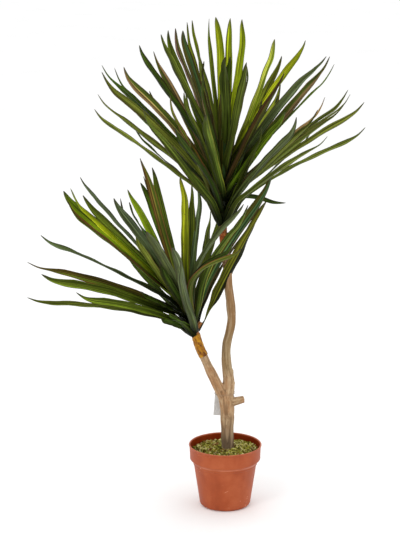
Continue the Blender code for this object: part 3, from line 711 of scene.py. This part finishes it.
def keep_on(mesh, name, kind, domain, rows):
    """Stores numbers on the mesh for its finish to read."""
    layer = mesh.attributes.new(name, kind, domain)
    field = {"FLOAT": "value", "FLOAT_VECTOR": "vector", "FLOAT_COLOR": "color"}[kind]
    layer.data.foreach_set(field, np.array(rows, np.float32).ravel())


def new_piece(name, mesh, materials, replaces=()):
    """A finished piece of the plant, which stands for the named CAD nodes."""
    piece = placed(name, mesh)
    mesh.name = name
    mesh.materials.clear()
    for material in materials:
        mesh.materials.append(material)
    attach(piece, "root")
    if replaces:
        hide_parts(*replaces)


def refinish(node, material):
    """Gives a CAD node that stays in view its own finish."""
    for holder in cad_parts[node].material_slots:
        holder.material = material


def run_through(rows, marks, at):
    """A smooth run through the rows, which stand at these marks, read at new marks."""
    rows, marks, at = (np.asarray(values, float) for values in (rows, marks, at))
    slopes = np.gradient(rows, marks, axis=0)
    i = np.clip(np.searchsorted(marks, at, "right") - 1, 0, len(marks) - 2)
    gap = (marks[i + 1] - marks[i])[:, None]
    s = (at - marks[i])[:, None] / gap
    near = (1 + 2 * s) * (1 - s) ** 2 * rows[i] + s * (1 - s) ** 2 * gap * slopes[i]
    far = s * s * (3 - 2 * s) * rows[i + 1] + s * s * (s - 1) * gap * slopes[i + 1]
    return near + far


def lengths_along(places):
    steps = np.linalg.norm(np.diff(places, axis=0), axis=1)
    return np.concatenate(([0], np.cumsum(steps)))


def unit(vectors):
    return vectors / np.linalg.norm(vectors, axis=-1, keepdims=True)


class Limb:
    """A round limb along a line: dense places, radii, directions and lengths, in metres."""

    def __init__(self, line, step=1.5):
        rows = np.array(line, float) * MM
        marks = lengths_along(rows[:, :3])
        at = np.linspace(0, marks[-1], int(marks[-1] / (step * MM)) + 2)
        full = run_through(rows, marks, at)
        self.places, self.radii, self.lengths = full[:, :3], full[:, 3], at
        self.ahead = unit(np.gradient(self.places, axis=0))
        side = np.cross(self.ahead, (0.0, 1.0, 0.0))
        self.side = unit(side)
        self.front = np.cross(self.side, self.ahead)


def grain_of(points, limbs):
    """For each point: angle round its limb, length along it, the limb's radius and number."""
    best = None
    for number, limb in enumerate(limbs):
        off = points[:, None, :] - limb.places[None, :, :]
        apart = np.linalg.norm(off, axis=2)
        near = np.argmin(apart, axis=1)
        rows = np.arange(len(points))
        arm = off[rows, near]
        angle = np.arctan2((arm * limb.side[near]).sum(1), (arm * limb.front[near]).sum(1))
        length = limb.lengths[near] + (arm * limb.ahead[near]).sum(1)
        found = np.stack((apart[rows, near] - limb.radii[near], angle, length, limb.radii[near]), axis=1)
        found = np.column_stack((found, np.full(len(points), number)))
        best = found if best is None else np.where(found[:, :1] < best[:, :1], found, best)
    return best[:, 1:]


def store_grain(mesh, grain):
    """Keeps the direction of growth on the mesh for the finish: round the limb, and slowly along it."""
    angle, length, radius, number = grain.T
    reach = radius / MM / 10
    rows = np.stack((np.cos(angle) * reach + number * 7, np.sin(angle) * reach, length / MM * 0.03), axis=1)
    keep_on(mesh, "grain", "FLOAT_VECTOR", "POINT", rows)


def welded_copy(node):
    """A merged copy of a CAD node's mesh."""
    shape = bmesh.new()
    shape.from_mesh(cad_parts[node].data)
    bmesh.ops.remove_doubles(shape, verts=shape.verts, dist=0.005 * MM)
    shape.verts.index_update()
    return shape


def remeshed(node, voxel):
    """An even, fine skin over a CAD node, softened a little."""
    shape = welded_copy(node)
    mesh = bpy.data.meshes.new(node + "_skin")
    shape.to_mesh(mesh)
    shape.free()
    holder = placed(node + "_skin", mesh)
    skin = holder.modifiers.new("skin", "REMESH")
    skin.mode = "VOXEL"
    skin.voxel_size = voxel * MM
    skin.use_smooth_shade = True
    fine = settled(holder)
    shape = bmesh.new()
    shape.from_mesh(fine)
    every_way = {"use_axis_x": True, "use_axis_y": True, "use_axis_z": True}
    for _ in range(3):
        bmesh.ops.smooth_vert(shape, verts=shape.verts, factor=0.5, **every_way)
    shape.to_mesh(fine)
    shape.free()
    return fine


def read_points(mesh):
    points = np.empty(len(mesh.vertices) * 3, np.float32)
    mesh.vertices.foreach_get("co", points)
    return points.reshape(-1, 3).astype(float)


def push_out(mesh, heights):
    """Moves each point along its normal by its height in millimetres."""
    normals = np.empty(len(mesh.vertices) * 3, np.float32)
    mesh.vertices.foreach_get("normal", normals)
    points = read_points(mesh) + normals.reshape(-1, 3) * heights[:, None] * MM
    mesh.vertices.foreach_set("co", points.astype(np.float32).ravel())
    mesh.update()


def noise_at(rows):
    return np.array([noise.noise(Vector(row)) for row in rows])


def shade_smooth(mesh):
    mesh.polygons.foreach_set("use_smooth", [True] * len(mesh.polygons))


def grid_mesh(name, rings):
    """A skin over rings of points, in order along it. Each ring turns the same way, and points that
    meet become one."""
    rings = [np.asarray(ring, float) for ring in rings]
    count = len(rings[0])
    points = np.concatenate(rings)
    faces = []
    for j in range(len(rings) - 1):
        for i in range(count):
            n = (i + 1) % count
            faces.append((j * count + i, j * count + n, (j + 1) * count + n, (j + 1) * count + i))
    mesh = bpy.data.meshes.new(name)
    mesh.from_pydata([tuple(p) for p in points], [], faces)
    shape = bmesh.new()
    shape.from_mesh(mesh)
    bmesh.ops.remove_doubles(shape, verts=shape.verts, dist=0.002 * MM)
    bmesh.ops.recalc_face_normals(shape, faces=shape.faces)
    shape.to_mesh(mesh)
    shape.free()
    shade_smooth(mesh)
    return mesh


def turned(name, profile, sides):
    """A closed shape turned about Z from (radius, height) pairs; a radius of 0 closes on the axis."""
    shape = bmesh.new()
    rings = []
    for radius, height in profile:
        if radius < 1e-6:
            rings.append([shape.verts.new((0, 0, height * MM))])
            continue
        ring = []
        for i in range(sides):
            a = 2 * math.pi * i / sides
            ring.append(shape.verts.new((radius * math.cos(a) * MM, radius * math.sin(a) * MM, height * MM)))
        rings.append(ring)
    faces = {}
    for k, (near, far) in enumerate(zip(rings, rings[1:] + rings[:1])):
        for i in range(sides):
            corners = [near[i % len(near)], near[(i + 1) % sides % len(near)]]
            corners += [far[(i + 1) % sides % len(far)], far[i % len(far)]]
            corners = list(dict.fromkeys(corners))
            if len(corners) > 2:
                faces[shape.faces.new(corners)] = k
    bmesh.ops.recalc_face_normals(shape, faces=shape.faces)
    mesh = bpy.data.meshes.new(name)
    shape.faces.index_update()
    spans = {face.index: k for face, k in faces.items()}
    shape.to_mesh(mesh)
    shape.free()
    shade_smooth(mesh)
    return mesh, spans


def arc(centre, radius, start, end, count):
    """(radius, height) pairs round an arc, in degrees."""
    turns = (math.radians(start + (end - start) * i / (count - 1)) for i in range(count))
    return [(centre[0] + radius * math.cos(a), centre[1] + radius * math.sin(a)) for a in turns]


# ---------------------------------------------------------------- leaves


def blade_rows(node, heart):
    """The middles and upward directions of a CAD blade's sections, from its foot to its tip."""
    shape = welded_copy(node)
    tip = max(shape.verts, key=lambda vert: (vert.co - heart).length)
    ring, seen, rings = [tip], {tip}, []
    while ring:
        near = {edge.other_vert(vert) for vert in ring for edge in vert.link_edges} - seen
        ring = sorted(near, key=lambda vert: vert.index)
        seen |= near
        if ring:
            rings.append([vert.co.copy() for vert in ring])
    middles, ups = [tip.co.copy()], []
    for corners in rings:
        pairs = [(a, b) for a in range(4) for b in range(a + 1, 4)]
        a, b = max(pairs, key=lambda pair: (corners[pair[0]] - corners[pair[1]]).length)
        c, d = (k for k in range(4) if k not in (a, b))
        middle = (corners[c] + corners[d]) / 2
        middles.append(middle)
        ups.append(((corners[a] + corners[b]) / 2 - middle).normalized())
    shape.free()
    ups = [ups[0], *ups]
    return np.array([tuple(p) for p in middles[::-1]]), np.array([tuple(p) for p in ups[::-1]])


def fill_rows(limb, share, turn, lean, length, droop, roll):
    """The same for a leaf that has no CAD node, by the rule that the CAD blades follow."""
    k = int(round(share * (len(limb.places) - 1)))
    axis, seat, radius = Vector(limb.ahead[k]), Vector(limb.places[k]), limb.radii[k]
    side = (Vector((1, 0, 0)) - axis * axis.x).normalized()
    front = side.cross(axis).normalized()
    turn, lean, droop, roll = (math.radians(value) for value in (turn, lean, droop, roll))
    outward = side * math.sin(turn) + front * math.cos(turn)
    to_front = 1 if math.sin(turn) >= 0 else -1
    place = seat + outward * (radius + SEAT_GAP * MM)
    marks = np.linspace(0, 1, 16)
    middles, ups = [], []
    for step, mark in enumerate(marks):
        hook = math.radians(TIP_HOOK) * float(smooth_step((mark - HOOK_START) / (1 - HOOK_START)))
        angle = lean + droop * (mark - 0.5) - hook
        ahead = axis * math.cos(angle) + outward * math.sin(angle)
        if step:
            place = place + ahead * length * MM / (len(marks) - 1)
        up = axis * math.sin(angle) - outward * math.cos(angle)
        up = Matrix.Rotation(roll * to_front * float(smooth_step(mark / ROLLED_BY)), 3, ahead) @ up
        middles.append(tuple(place))
        ups.append(tuple(up))
    return np.array(middles), np.array(ups)


def blade_line(middles, ups, reach, roll, lead, climb, chance):
    """A fine blade's middle line and its directions across and up.

    The line follows the frame's blade, hugs the stem as a sheath does before it leaves it, is drawn
    aside by its lead, and sways, twists and flicks a little by chance.
    """
    marks = lengths_along(middles)
    marks = marks / marks[-1]
    t = ALONG
    centre = run_through(middles, marks, t * reach)
    up = run_through(ups, marks, t * reach)
    centre[:, 2] += climb * MM * (smooth_step(t / 0.16) * (1 - t) - 0.45 * (1 - smooth_step(t / 0.12)))
    tip_right, tip_up, middle_right, middle_up = (*lead, 0, 0)[:4]
    for axis, end, middle in ((0, tip_right, middle_right), (2, tip_up, middle_up)):
        centre[:, axis] += (end * t**1.3 + middle * np.sin(math.pi * t)) * MM
    ahead = unit(np.gradient(centre, t, axis=0))
    up = unit(up - ahead * (up * ahead).sum(1, keepdims=True))
    across = np.cross(ahead, up)

    sway = chance.uniform(-3.2, 3.2) * np.sin(2 * math.pi * (t * chance.uniform(0.5, 0.9) + chance.random()))
    lift = chance.uniform(-1.4, 1.4) * np.sin(2 * math.pi * (t * 1.3 + chance.random()))
    flick = chance.uniform(-7, 7) * smooth_step((t - 0.78) / 0.3)
    curl = chance.uniform(-1, 4) * smooth_step((t - 0.8) / 0.3)
    ease = smooth_step(t / 0.25)
    centre = centre + across * ((sway * ease + flick) * MM)[:, None]
    centre = centre + up * ((lift * ease + curl) * MM)[:, None]
    ahead = unit(np.gradient(centre, t, axis=0))
    turn = math.radians(chance.uniform(12, 48) * chance.choice((-1, 1)))
    twist = turn * smooth_step((t - 0.6) / 0.4) + math.radians(roll) * smooth_step(t / 0.3)
    waver = math.radians(chance.uniform(-12, 12))
    twist = twist + waver * np.sin(2 * math.pi * (t * 1.1 + chance.random())) * ease
    up = unit(up - ahead * (up * ahead).sum(1, keepdims=True))
    across = np.cross(ahead, up)
    turned_up = up * np.cos(twist)[:, None] + across * np.sin(twist)[:, None]
    return centre, np.cross(ahead, turned_up), turned_up


class Foliage:
    """Blades gathered into one mesh, with each blade's colours kept on its faces' corners."""

    def __init__(self):
        self.points, self.faces = [], []
        self.uvs, self.tones, self.halves, self.edges, self.marks = [], [], [], [], []

    def add(self, middles, ups, leaf, seed):
        """One blade along the line of middles; leaf is a row of one of the tables above."""
        finish, breadth, pointed, reach, roll, lead, climb = leaf
        chance = random.Random(seed)
        t = ALONG
        centre, across, up = blade_line(middles, ups, reach, roll, lead, climb, chance)
        ease = smooth_step(t / 0.25)

        hair = np.interp(t, WIDTH_MARKS, HAIR_TIP)
        point = np.interp(t, WIDTH_MARKS, POINT_TIP)
        half = (hair * (1 - pointed) + point * pointed) * breadth * BLADE_WIDTH / 2 * MM
        if finish == "split":
            half = half * np.interp(t, (0, 0.1, 0.24, 0.36), (0.5, 0.3, 0.55, 1))
        channel = np.interp(t, (0, 0.12, 0.35, 0.7, 0.88, 1), (0.75, 0.55, 0.36, 0.3, 0.5, 0.9))
        ripple = 0.1 * np.sin(2 * math.pi * (t * chance.uniform(4, 6) + chance.random())) * ease
        ripple_other = 0.1 * np.sin(2 * math.pi * (t * chance.uniform(4, 6) + chance.random())) * ease

        def row(share, side):
            rise = (math.sqrt(share * share + 0.02) - math.sqrt(0.02)) * channel
            rise = rise + (ripple if share > 0 else ripple_other) * share * share
            thick = (BLADE_THICKNESS * (1 - abs(share) ** 2.2)) / 2 * MM * np.clip(half / (2 * MM), 0.15, 1)
            height = half * rise + side * thick
            return centre + across * (half * share * 0.97)[:, None] + up * height[:, None]

        columns = [row(share, 1) for share in ACROSS] + [row(share, -1) for share in ACROSS[-2:0:-1]]
        shares = np.concatenate((ACROSS, ACROSS[-2:0:-1]))
        count, start = len(columns), len(self.points)
        grid = np.stack(columns, axis=1)
        self.points.extend(map(tuple, grid.reshape(-1, 3)))
        self.points.append(tuple(centre[-1] + (centre[-1] - centre[-2]) * 0.5))
        end = len(self.points) - 1

        upper, other, under, under_other, edge, edge_share = LEAF_FINISHES[finish]
        tint = LEAF_LIGHTNESS * chance.uniform(0.82, 1.2)
        warmth = chance.uniform(0.98, 1.1)
        phase = chance.random()

        def shade(colour):
            red, green, blue, _ = srgb(*colour)
            return (red * tint * warmth, green * tint, blue * tint / warmth, 1)

        colours = [[shade(c) for c in pair] for pair in ((upper, other), (under, under_other))]
        edge_colour = shade(edge)

        def face(corners, below):
            self.faces.append([start + j * count + i if j is not None else end for j, i in corners])
            for j, i in corners:
                share = shares[i] if i is not None else 0
                self.uvs.append(((share + 1) / 2, t[j] if j is not None else 1.0))
                self.tones.append(colours[below][0])
                self.halves.append(colours[below][1])
                self.edges.append(edge_colour)
                self.marks.append((edge_share, phase, float(below)))

        top = len(ACROSS) - 1
        for j in range(len(t) - 1):
            for i in range(count):
                n = (i + 1) % count
                face([(j, i), (j, n), (j + 1, n), (j + 1, i)], int(i >= top))
        last = len(t) - 1
        for i in range(count):
            face([(last, i), (last, (i + 1) % count), (None, None)], int(i >= top))
        face([(0, i) for i in range(count)][::-1], 1)

    def mesh(self, name):
        mesh = bpy.data.meshes.new(name)
        mesh.from_pydata(self.points, [], self.faces)
        uv = mesh.uv_layers.new(name="blade")
        uv.data.foreach_set("uv", np.array(self.uvs, np.float32).ravel())
        colours = {"leaf_tone": self.tones, "leaf_half_tone_and_shade": self.halves, "leaf_edge": self.edges}
        for label, rows in colours.items():
            keep_on(mesh, label, "FLOAT_COLOR", "CORNER", rows)
        keep_on(mesh, "leaf_marks", "FLOAT_VECTOR", "CORNER", self.marks)
        shade_smooth(mesh)
        return mesh


def build_crown(prefix, leaves, whorls, fill, fill_line, finish):
    """One crown: a piece for each whorl of CAD leaves, and one for the leaves that fill it."""
    stem = f"{prefix}_crown_stem"
    low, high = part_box(stem)
    heart = (low + high) / 2
    number = 0
    for level, count in enumerate(whorls, 1):
        foliage, nodes = Foliage(), []
        for leaf in leaves[number : number + count]:
            number += 1
            node = f"leaf_{prefix}_{number:02d}"
            nodes.append(node)
            middles, ups = blade_rows(node, heart)
            foliage.add(middles, ups, leaf, OWN_SEEDS + number * 7 + ord(prefix[0]))
        name = f"{prefix}_whorl_{level}"
        new_piece(name, foliage.mesh(name), [finish], nodes)
    foliage, limb = Foliage(), Limb(fill_line)
    for number, row in enumerate(fill):
        share, turn, lean, length, droop, roll, tone, breadth, pointed, climb, *bow = row
        middles, ups = fill_rows(limb, share, turn, lean, length, droop, roll)
        leaf = (tone, breadth, pointed, 1, 0, (0, 0, *bow), climb)
        foliage.add(middles, ups, leaf, FILL_SEEDS + number * 11 + ord(prefix[0]))
    name = f"{prefix}_inner_leaves"
    new_piece(name, foliage.mesh(name), [finish])


# ---------------------------------------------------------------- wood, stems and bands


def build_trunk(finish):
    """The wood, with fibres raised along each limb, cracks between them, knobs and a sawn stub."""
    limbs = [Limb(TRUNK_LINE), Limb(BRANCH_LINE), Limb(STUB_LINE)]
    mesh = remeshed("trunk", SKIN_FACE)
    points = read_points(mesh)
    grain = grain_of(points, limbs)
    angle, length, _, number = grain.T
    length = length / MM
    ring = 2.4
    rows = np.stack((np.cos(angle) * ring + number * 9, np.sin(angle) * ring, length * 0.02), axis=1)
    ridges = noise_at(rows)
    fine = noise_at(rows * (2.3, 2.3, 2.0) + 5)
    lumps = noise_at(points / MM * 0.045 + 3)
    swell = noise_at(np.stack((number, length * 0.05, number * 0), axis=1))
    cracks = np.clip(1 - np.abs(ridges) / 0.09, 0, 1) * (noise_at(rows * 0.6 + 11) > 0)
    heights = 0.85 * ridges + 0.45 * fine + 0.9 * lumps + 0.45 * swell - 0.9 * cracks
    knobs = np.zeros(len(points))
    for place, reach, height in WOOD_KNOBS:
        apart = np.linalg.norm(points / MM - np.array(place, float), axis=1)
        knobs += height * smooth_step(1 - apart / reach)
    covered = smooth_step((points[:, 2] / MM - CLEAR_OF_MOSS) / 8)
    push_out(mesh, heights * (0.3 + 0.7 * covered) + knobs)
    store_grain(mesh, grain)
    # The relief is kept for the finish, which paints highlights on ridges and knobs and shade in grooves,
    # cracks and pits.
    relief = np.clip(ridges + 0.4 * fine - 0.7 * cracks + np.clip(knobs / KNOB_RELIEF, -0.8, 0.8), -1, 1)
    keep_on(mesh, "relief", "FLOAT", "POINT", relief)
    shade_smooth(mesh)
    new_piece("trunk_wood", mesh, [finish], ["trunk"])


def build_stem(name, node, lines, finish):
    """A crown stem with the sheath steps that the leaves leave on it."""
    limbs = [Limb(line) for line in lines]
    mesh = remeshed(node, SKIN_FACE)
    points = read_points(mesh)
    grain = grain_of(points, limbs)
    angle, length, _, _ = grain.T
    step = (length / MM / SHEATH_STEP + 0.25 * np.sin(angle) + 0.1 * np.sin(angle * 3)) % 1
    fibres = noise_at(np.stack((np.cos(angle) * 3, np.sin(angle) * 3, length / MM * 0.08), axis=1))
    push_out(mesh, 0.35 * (1 - step) + 0.25 * fibres - 0.2)
    store_grain(mesh, grain)
    shade_smooth(mesh)
    new_piece(name, mesh, [finish], [node])


def build_band(name, node, line, finish, seed):
    """A wound binding: each turn of the tape overlaps the one below it, and its ends are uneven."""
    limb = Limb(line, 0.6)
    chance = random.Random(seed)
    wobble = [chance.uniform(0, 2 * math.pi) for _ in range(4)]
    outer, inner = [], []
    length = limb.lengths / MM
    for k in range(len(limb.places)):
        ring, hole = [], []
        for i in range(BAND_SIDES):
            a = 2 * math.pi * i / BAND_SIDES
            out = limb.side[k] * math.sin(a) + limb.front[k] * math.cos(a)
            turn = (length[k] / TAPE_PITCH + i / BAND_SIDES) % 1
            lap = TAPE_LAP * (1 - turn)
            crimp = Vector((math.cos(a) * 2.2, math.sin(a) * 2.2, length[k] * 0.25 + seed))
            crease = 0.16 * noise.noise(crimp)
            ragged = 0
            if k in (0, len(limb.places) - 1):
                ragged = 0.7 * math.sin(2 * a + wobble[0]) + 0.5 * math.sin(5 * a + wobble[1])
            place = limb.places[k] + limb.ahead[k] * ragged * MM
            ring.append(place + out * (limb.radii[k] + (TAPE_RISE + lap + crease) * MM))
            hole.append(place + out * (limb.radii[k] + TAPE_GAP * MM))
        outer.append(ring)
        inner.append(hole)
    mesh = grid_mesh(name, outer + inner[::-1] + outer[:1])
    store_grain(mesh, grain_of(read_points(mesh), [limb]))
    new_piece(name, mesh, [finish], [node])


# ---------------------------------------------------------------- pot and moss


def build_pot(outside, shaded_inside):
    """The moulded pot: rolled rim, sloping collar, a bead under the shoulder and a tapered wall."""

    def wall(height):
        """The outer radius of the tapered wall at this height."""
        return WALL_FOOT_RADIUS + WALL_SPREAD * height / WALL_TOP

    outer = [
        *arc((63.6, 111.6), 1.4, 95, -60, 9),
        (63.9, 109.6),
        (63.75, 107.5),
        (63.4, 100),
        (63.0, 92),
        *arc((61.2, 87.4), 1.8, -4, -48, 4),
        (59.6, 83.6),
        (57.9, 80.2),
        (57.35, 79.2),
        (57.25, 78.6),
        *arc((56.3, 77.6), 0.95, 45, -60, 6),
        (56.0, 76.0),
        (wall(74.6), 74.6),
        (wall(60), 60),
        (wall(42), 42),
        (wall(24), 24),
        (wall(10), 10),
        *arc((wall(7) - 7, 7), 7, 0, -90, 10),
        (36, 0),
        (32.4, 0),
        (30.5, 1.5),
        (15.5, 1.5),
        (14, 0),
        (0, 0),
    ]
    inner = [
        (0, FLOOR_TOP),
        (wall(FLOOR_TOP) - POT_WALL - INSIDE_CORNER, FLOOR_TOP),
        (wall(FLOOR_TOP + INSIDE_CORNER) - POT_WALL, FLOOR_TOP + INSIDE_CORNER),
        (wall(42) - POT_WALL, 42),
        (wall(78.3) - POT_WALL, 78.3),
        (61.1, 86.9),
        (61.7, 98),
        (62.2, 107),
        (62.3, 110.8),
        (62.6, 112.2),
    ]
    mesh, spans = turned("pot_shell", outer + inner, POT_SIDES)
    first_inner = len(outer) - 1
    last_inner = len(outer) + len(inner) - 3
    new_piece("pot_shell", mesh, [outside, shaded_inside], ["pot"])
    for polygon in mesh.polygons:
        polygon.material_index = int(first_inner <= spans[polygon.index] <= last_inner)


def build_moss_bed(finish):
    """The mounded bed, with a well round the trunk and tufts that rise and sink."""
    rings = []
    line = np.array(MOSS_LINE, float)
    radii = np.concatenate(([WELL_RADIUS], np.linspace(14, 58, 22), [59.6, 60.6]))
    for radius in radii:
        shift = WELL_SHIFT * (1 - radius / BED_RADIUS)
        ring = []
        for i in range(BED_SIDES):
            a = 2 * math.pi * i / BED_SIDES
            x, y = radius * math.cos(a), radius * math.sin(a)
            height = float(np.interp(radius, line[:, 0], line[:, 1]))
            tuft = 2.2 * noise.noise(Vector((x * 0.09, y * 0.09, 2)))
            tuft += 1.1 * noise.noise(Vector((x * 0.3, y * 0.3, 7)))
            height += tuft * float(smooth_step((BED_RADIUS - radius) / 8))
            ring.append(((x + shift) * MM, y * MM, height * MM))
        rings.append(ring)
    rings.append([(x, y, BED_FLOOR * MM) for x, y, _ in rings[-1]])
    rings.append([(x, y, BED_FLOOR * MM) for x, y, _ in rings[0]])
    rings.append(rings[0])
    mesh = grid_mesh("moss_bed", rings)
    new_piece("moss_bed", mesh, [finish], ["moss"])


def strand_tree(material):
    """Geometry nodes that scatter curly strands over a surface."""
    tree = bpy.data.node_groups.new("curly strands", "GeometryNodeTree")
    face = tree.interface
    face.new_socket("Bed", in_out="INPUT", socket_type="NodeSocketGeometry")
    sockets = {}
    for label, kind, value in (
        ("Strands per Square Metre", "NodeSocketFloat", STRAND_DENSITY),
        ("Curl Radius", "NodeSocketFloat", 4.4 * MM),
        ("Curl Rise", "NodeSocketFloat", 5.0 * MM),
        ("Strand Radius", "NodeSocketFloat", 0.95 * MM),
        ("Turns", "NodeSocketFloat", 0.9),
        ("Seed", "NodeSocketInt", STRAND_SEED),
    ):
        sockets[label] = face.new_socket(label, in_out="INPUT", socket_type=kind)
        sockets[label].default_value = value
    face.new_socket("Strands", in_out="OUTPUT", socket_type="NodeSocketGeometry")

    g = Nodes(tree)
    given = g.node("NodeGroupInput").outputs
    spread = {"Mesh": given["Bed"], "Density": given["Strands per Square Metre"], "Seed": given["Seed"]}
    scatter = g.node("GeometryNodeDistributePointsOnFaces", spread, distribute_method="RANDOM")
    coil = {"Rotations": given["Turns"], "End Radius": given["Curl Radius"], "Height": given["Curl Rise"]}
    coil |= {"Resolution": 8, "Start Radius": 0.9 * MM}
    curl = g.node("GeometryNodeCurveSpiral", coil)
    outline = {"Resolution": 3, "Radius": given["Strand Radius"]}
    section = g.node("GeometryNodeCurvePrimitiveCircle", outline, mode="RADIUS")
    sweep = {"Curve": curl.outputs[0], "Profile Curve": section.outputs[0], "Fill Caps": True}
    strand = g.node("GeometryNodeCurveToMesh", sweep)

    def chance(kind, low, high, seed):
        first = {"FLOAT": 2, "FLOAT_VECTOR": 0}[kind]
        node = g.node("FunctionNodeRandomValue", {first: low, first + 1: high, "Seed": seed}, data_type=kind)
        return node.outputs[{"FLOAT": 1, "FLOAT_VECTOR": 0}[kind]]

    growth = {"Points": scatter.outputs["Points"], "Instance": strand.outputs[0]}
    growth["Rotation"] = chance("FLOAT_VECTOR", (-1.5, -1.5, 0.0), (1.5, 1.5, 6.28), 11)
    growth["Scale"] = chance("FLOAT_VECTOR", (0.5, 0.5, 0.5), (1.35, 1.35, 1.35), 12)
    plant = g.node("GeometryNodeInstanceOnPoints", growth)
    mark = {"Name": "strand_tone", "Geometry": plant.outputs[0], "Value": chance("FLOAT", 0.0, 1.0, 13)}
    keep = g.node("GeometryNodeStoreNamedAttribute", mark, data_type="FLOAT", domain="INSTANCE")
    real = g.node("GeometryNodeRealizeInstances", {"Geometry": keep.outputs[0]})
    paint = g.node("GeometryNodeSetMaterial", {"Geometry": real.outputs[0], "Material": material})
    g.node("NodeGroupOutput", {"Strands": paint.outputs[0]})
    return tree, sockets


def build_moss_strands(material):
    """Curly strands over the top of the bed."""
    shape = bmesh.new()
    shape.from_mesh(bpy.data.objects["moss_bed"].data)
    buried = []
    for polygon in shape.faces:
        middle = polygon.calc_center_median()
        far = math.hypot(middle.x, middle.y) > 57.5 * MM
        close = math.hypot(middle.x - WELL_SHIFT * MM, middle.y) < 12.5 * MM
        if far or close or middle.z < 95 * MM or polygon.normal.z < 0.3:
            buried.append(polygon)
    bmesh.ops.delete(shape, geom=buried, context="FACES")
    mesh = bpy.data.meshes.new("strand_bed")
    shape.to_mesh(mesh)
    shape.free()
    holder = placed("strand_bed", mesh)
    tree, sockets = strand_tree(material)
    modifier = holder.modifiers.new("strands", "NODES")
    modifier.node_group = tree
    modifier[sockets["Strands per Square Metre"].identifier] = STRAND_DENSITY
    modifier[sockets["Seed"].identifier] = STRAND_SEED
    strands = settled(holder)
    points = read_points(strands)
    spans = np.hypot(points[:, 0], points[:, 1])
    points[:, :2] *= np.minimum(1, STRAND_LIMIT * MM / np.maximum(spans, MM))[:, None]
    strands.vertices.foreach_set("co", points.ravel())
    shade_smooth(strands)
    new_piece("moss_strands", strands, [material])


# ---------------------------------------------------------------- stage


def set_camera():
    data = bpy.data.cameras.new("camera")
    data.lens = CAMERA_LENS
    data.sensor_width = 36
    data.clip_end = 200
    camera = placed("camera", data)
    camera.location = CAMERA_PLACE
    camera.rotation_euler = (math.radians(90 - CAMERA_PITCH), 0, 0)
    bpy.context.scene.camera = camera


def set_light(name, place, aim, size, power):
    data = bpy.data.lights.new(name, "AREA")
    data.shape = "DISK"
    data.size = size
    data.energy = power
    light = placed(name, data)
    light.location = place
    light.rotation_euler = (Vector(aim) - Vector(place)).to_track_quat("-Z", "Y").to_euler()


def set_stage():
    scene = bpy.context.scene
    scene.view_settings.view_transform = "Standard"
    world = bpy.data.worlds.new("studio")
    world.use_nodes = True
    back = world.node_tree.nodes["Background"]
    back.inputs["Color"].default_value = (1, 1, 1, 1)
    back.inputs["Strength"].default_value = 1.07
    scene.world = world
    for light in LIGHTS:
        set_light(*light)
    mesh = bpy.data.meshes.new("floor")
    corners = [(x * FLOOR_REACH, y * FLOOR_REACH, 0) for x, y in ((-1, -1), (1, -1), (1, 1), (-1, 1))]
    mesh.from_pydata(corners, [], [(0, 1, 2, 3)])
    mesh.materials.append(floor_finish())
    floor = placed("floor", mesh)


def main():
    set_camera()
    set_stage()
    leaf = leaf_finish()
    rust_stem = stem_finish("rust stem", (84, 42, 12), (134, 74, 26), (176, 118, 56))
    tan_stem = stem_finish("tan stem", (108, 60, 20), (156, 98, 46), (186, 134, 80))
    outer_tones = ((148, 65, 29), (160, 73, 35), (171, 86, 48))
    # Painted shade: the pot's inside takes darker tones of the same plastic.
    inside_shade_tones = ((112, 35, 7), (127, 43, 9), (140, 54, 15))
    outside = pot_finish("terracotta plastic", outer_tones, 0.8, 0.25)
    build_pot(outside, pot_finish("terracotta inside", inside_shade_tones, 0.2, 0.06))
    build_moss_bed(moss_bed_finish())
    build_moss_strands(moss_strand_finish())
    build_trunk(wood_finish())
    build_stem("upper_stem", "upper_crown_stem", [UPPER_STEM_LINE], rust_stem)
    build_stem("lower_stem", "lower_crown_stem", [LOWER_STEM_LINE, SPUR_LINE], tan_stem)
    rust = band_finish("rust binding", (100, 44, 14), (146, 72, 26), (174, 104, 50))
    amber = band_finish("amber binding", (92, 50, 8), (148, 94, 12), (188, 134, 18))
    build_band("upper_band", "upper_wrap", UPPER_BAND_LINE, rust, 3)
    build_band("lower_band", "lower_wrap", LOWER_BAND_LINE, amber, 8)
    build_crown("upper", UPPER_LEAVES, UPPER_WHORLS, UPPER_FILL, UPPER_FILL_LINE, leaf)
    build_crown("lower", LOWER_LEAVES, LOWER_WHORLS, LOWER_FILL, LOWER_FILL_LINE, leaf)
    refinish("ballast", cement_finish())
    refinish("tag", card_finish())
    refinish("tag_loop", nylon_finish())


main()
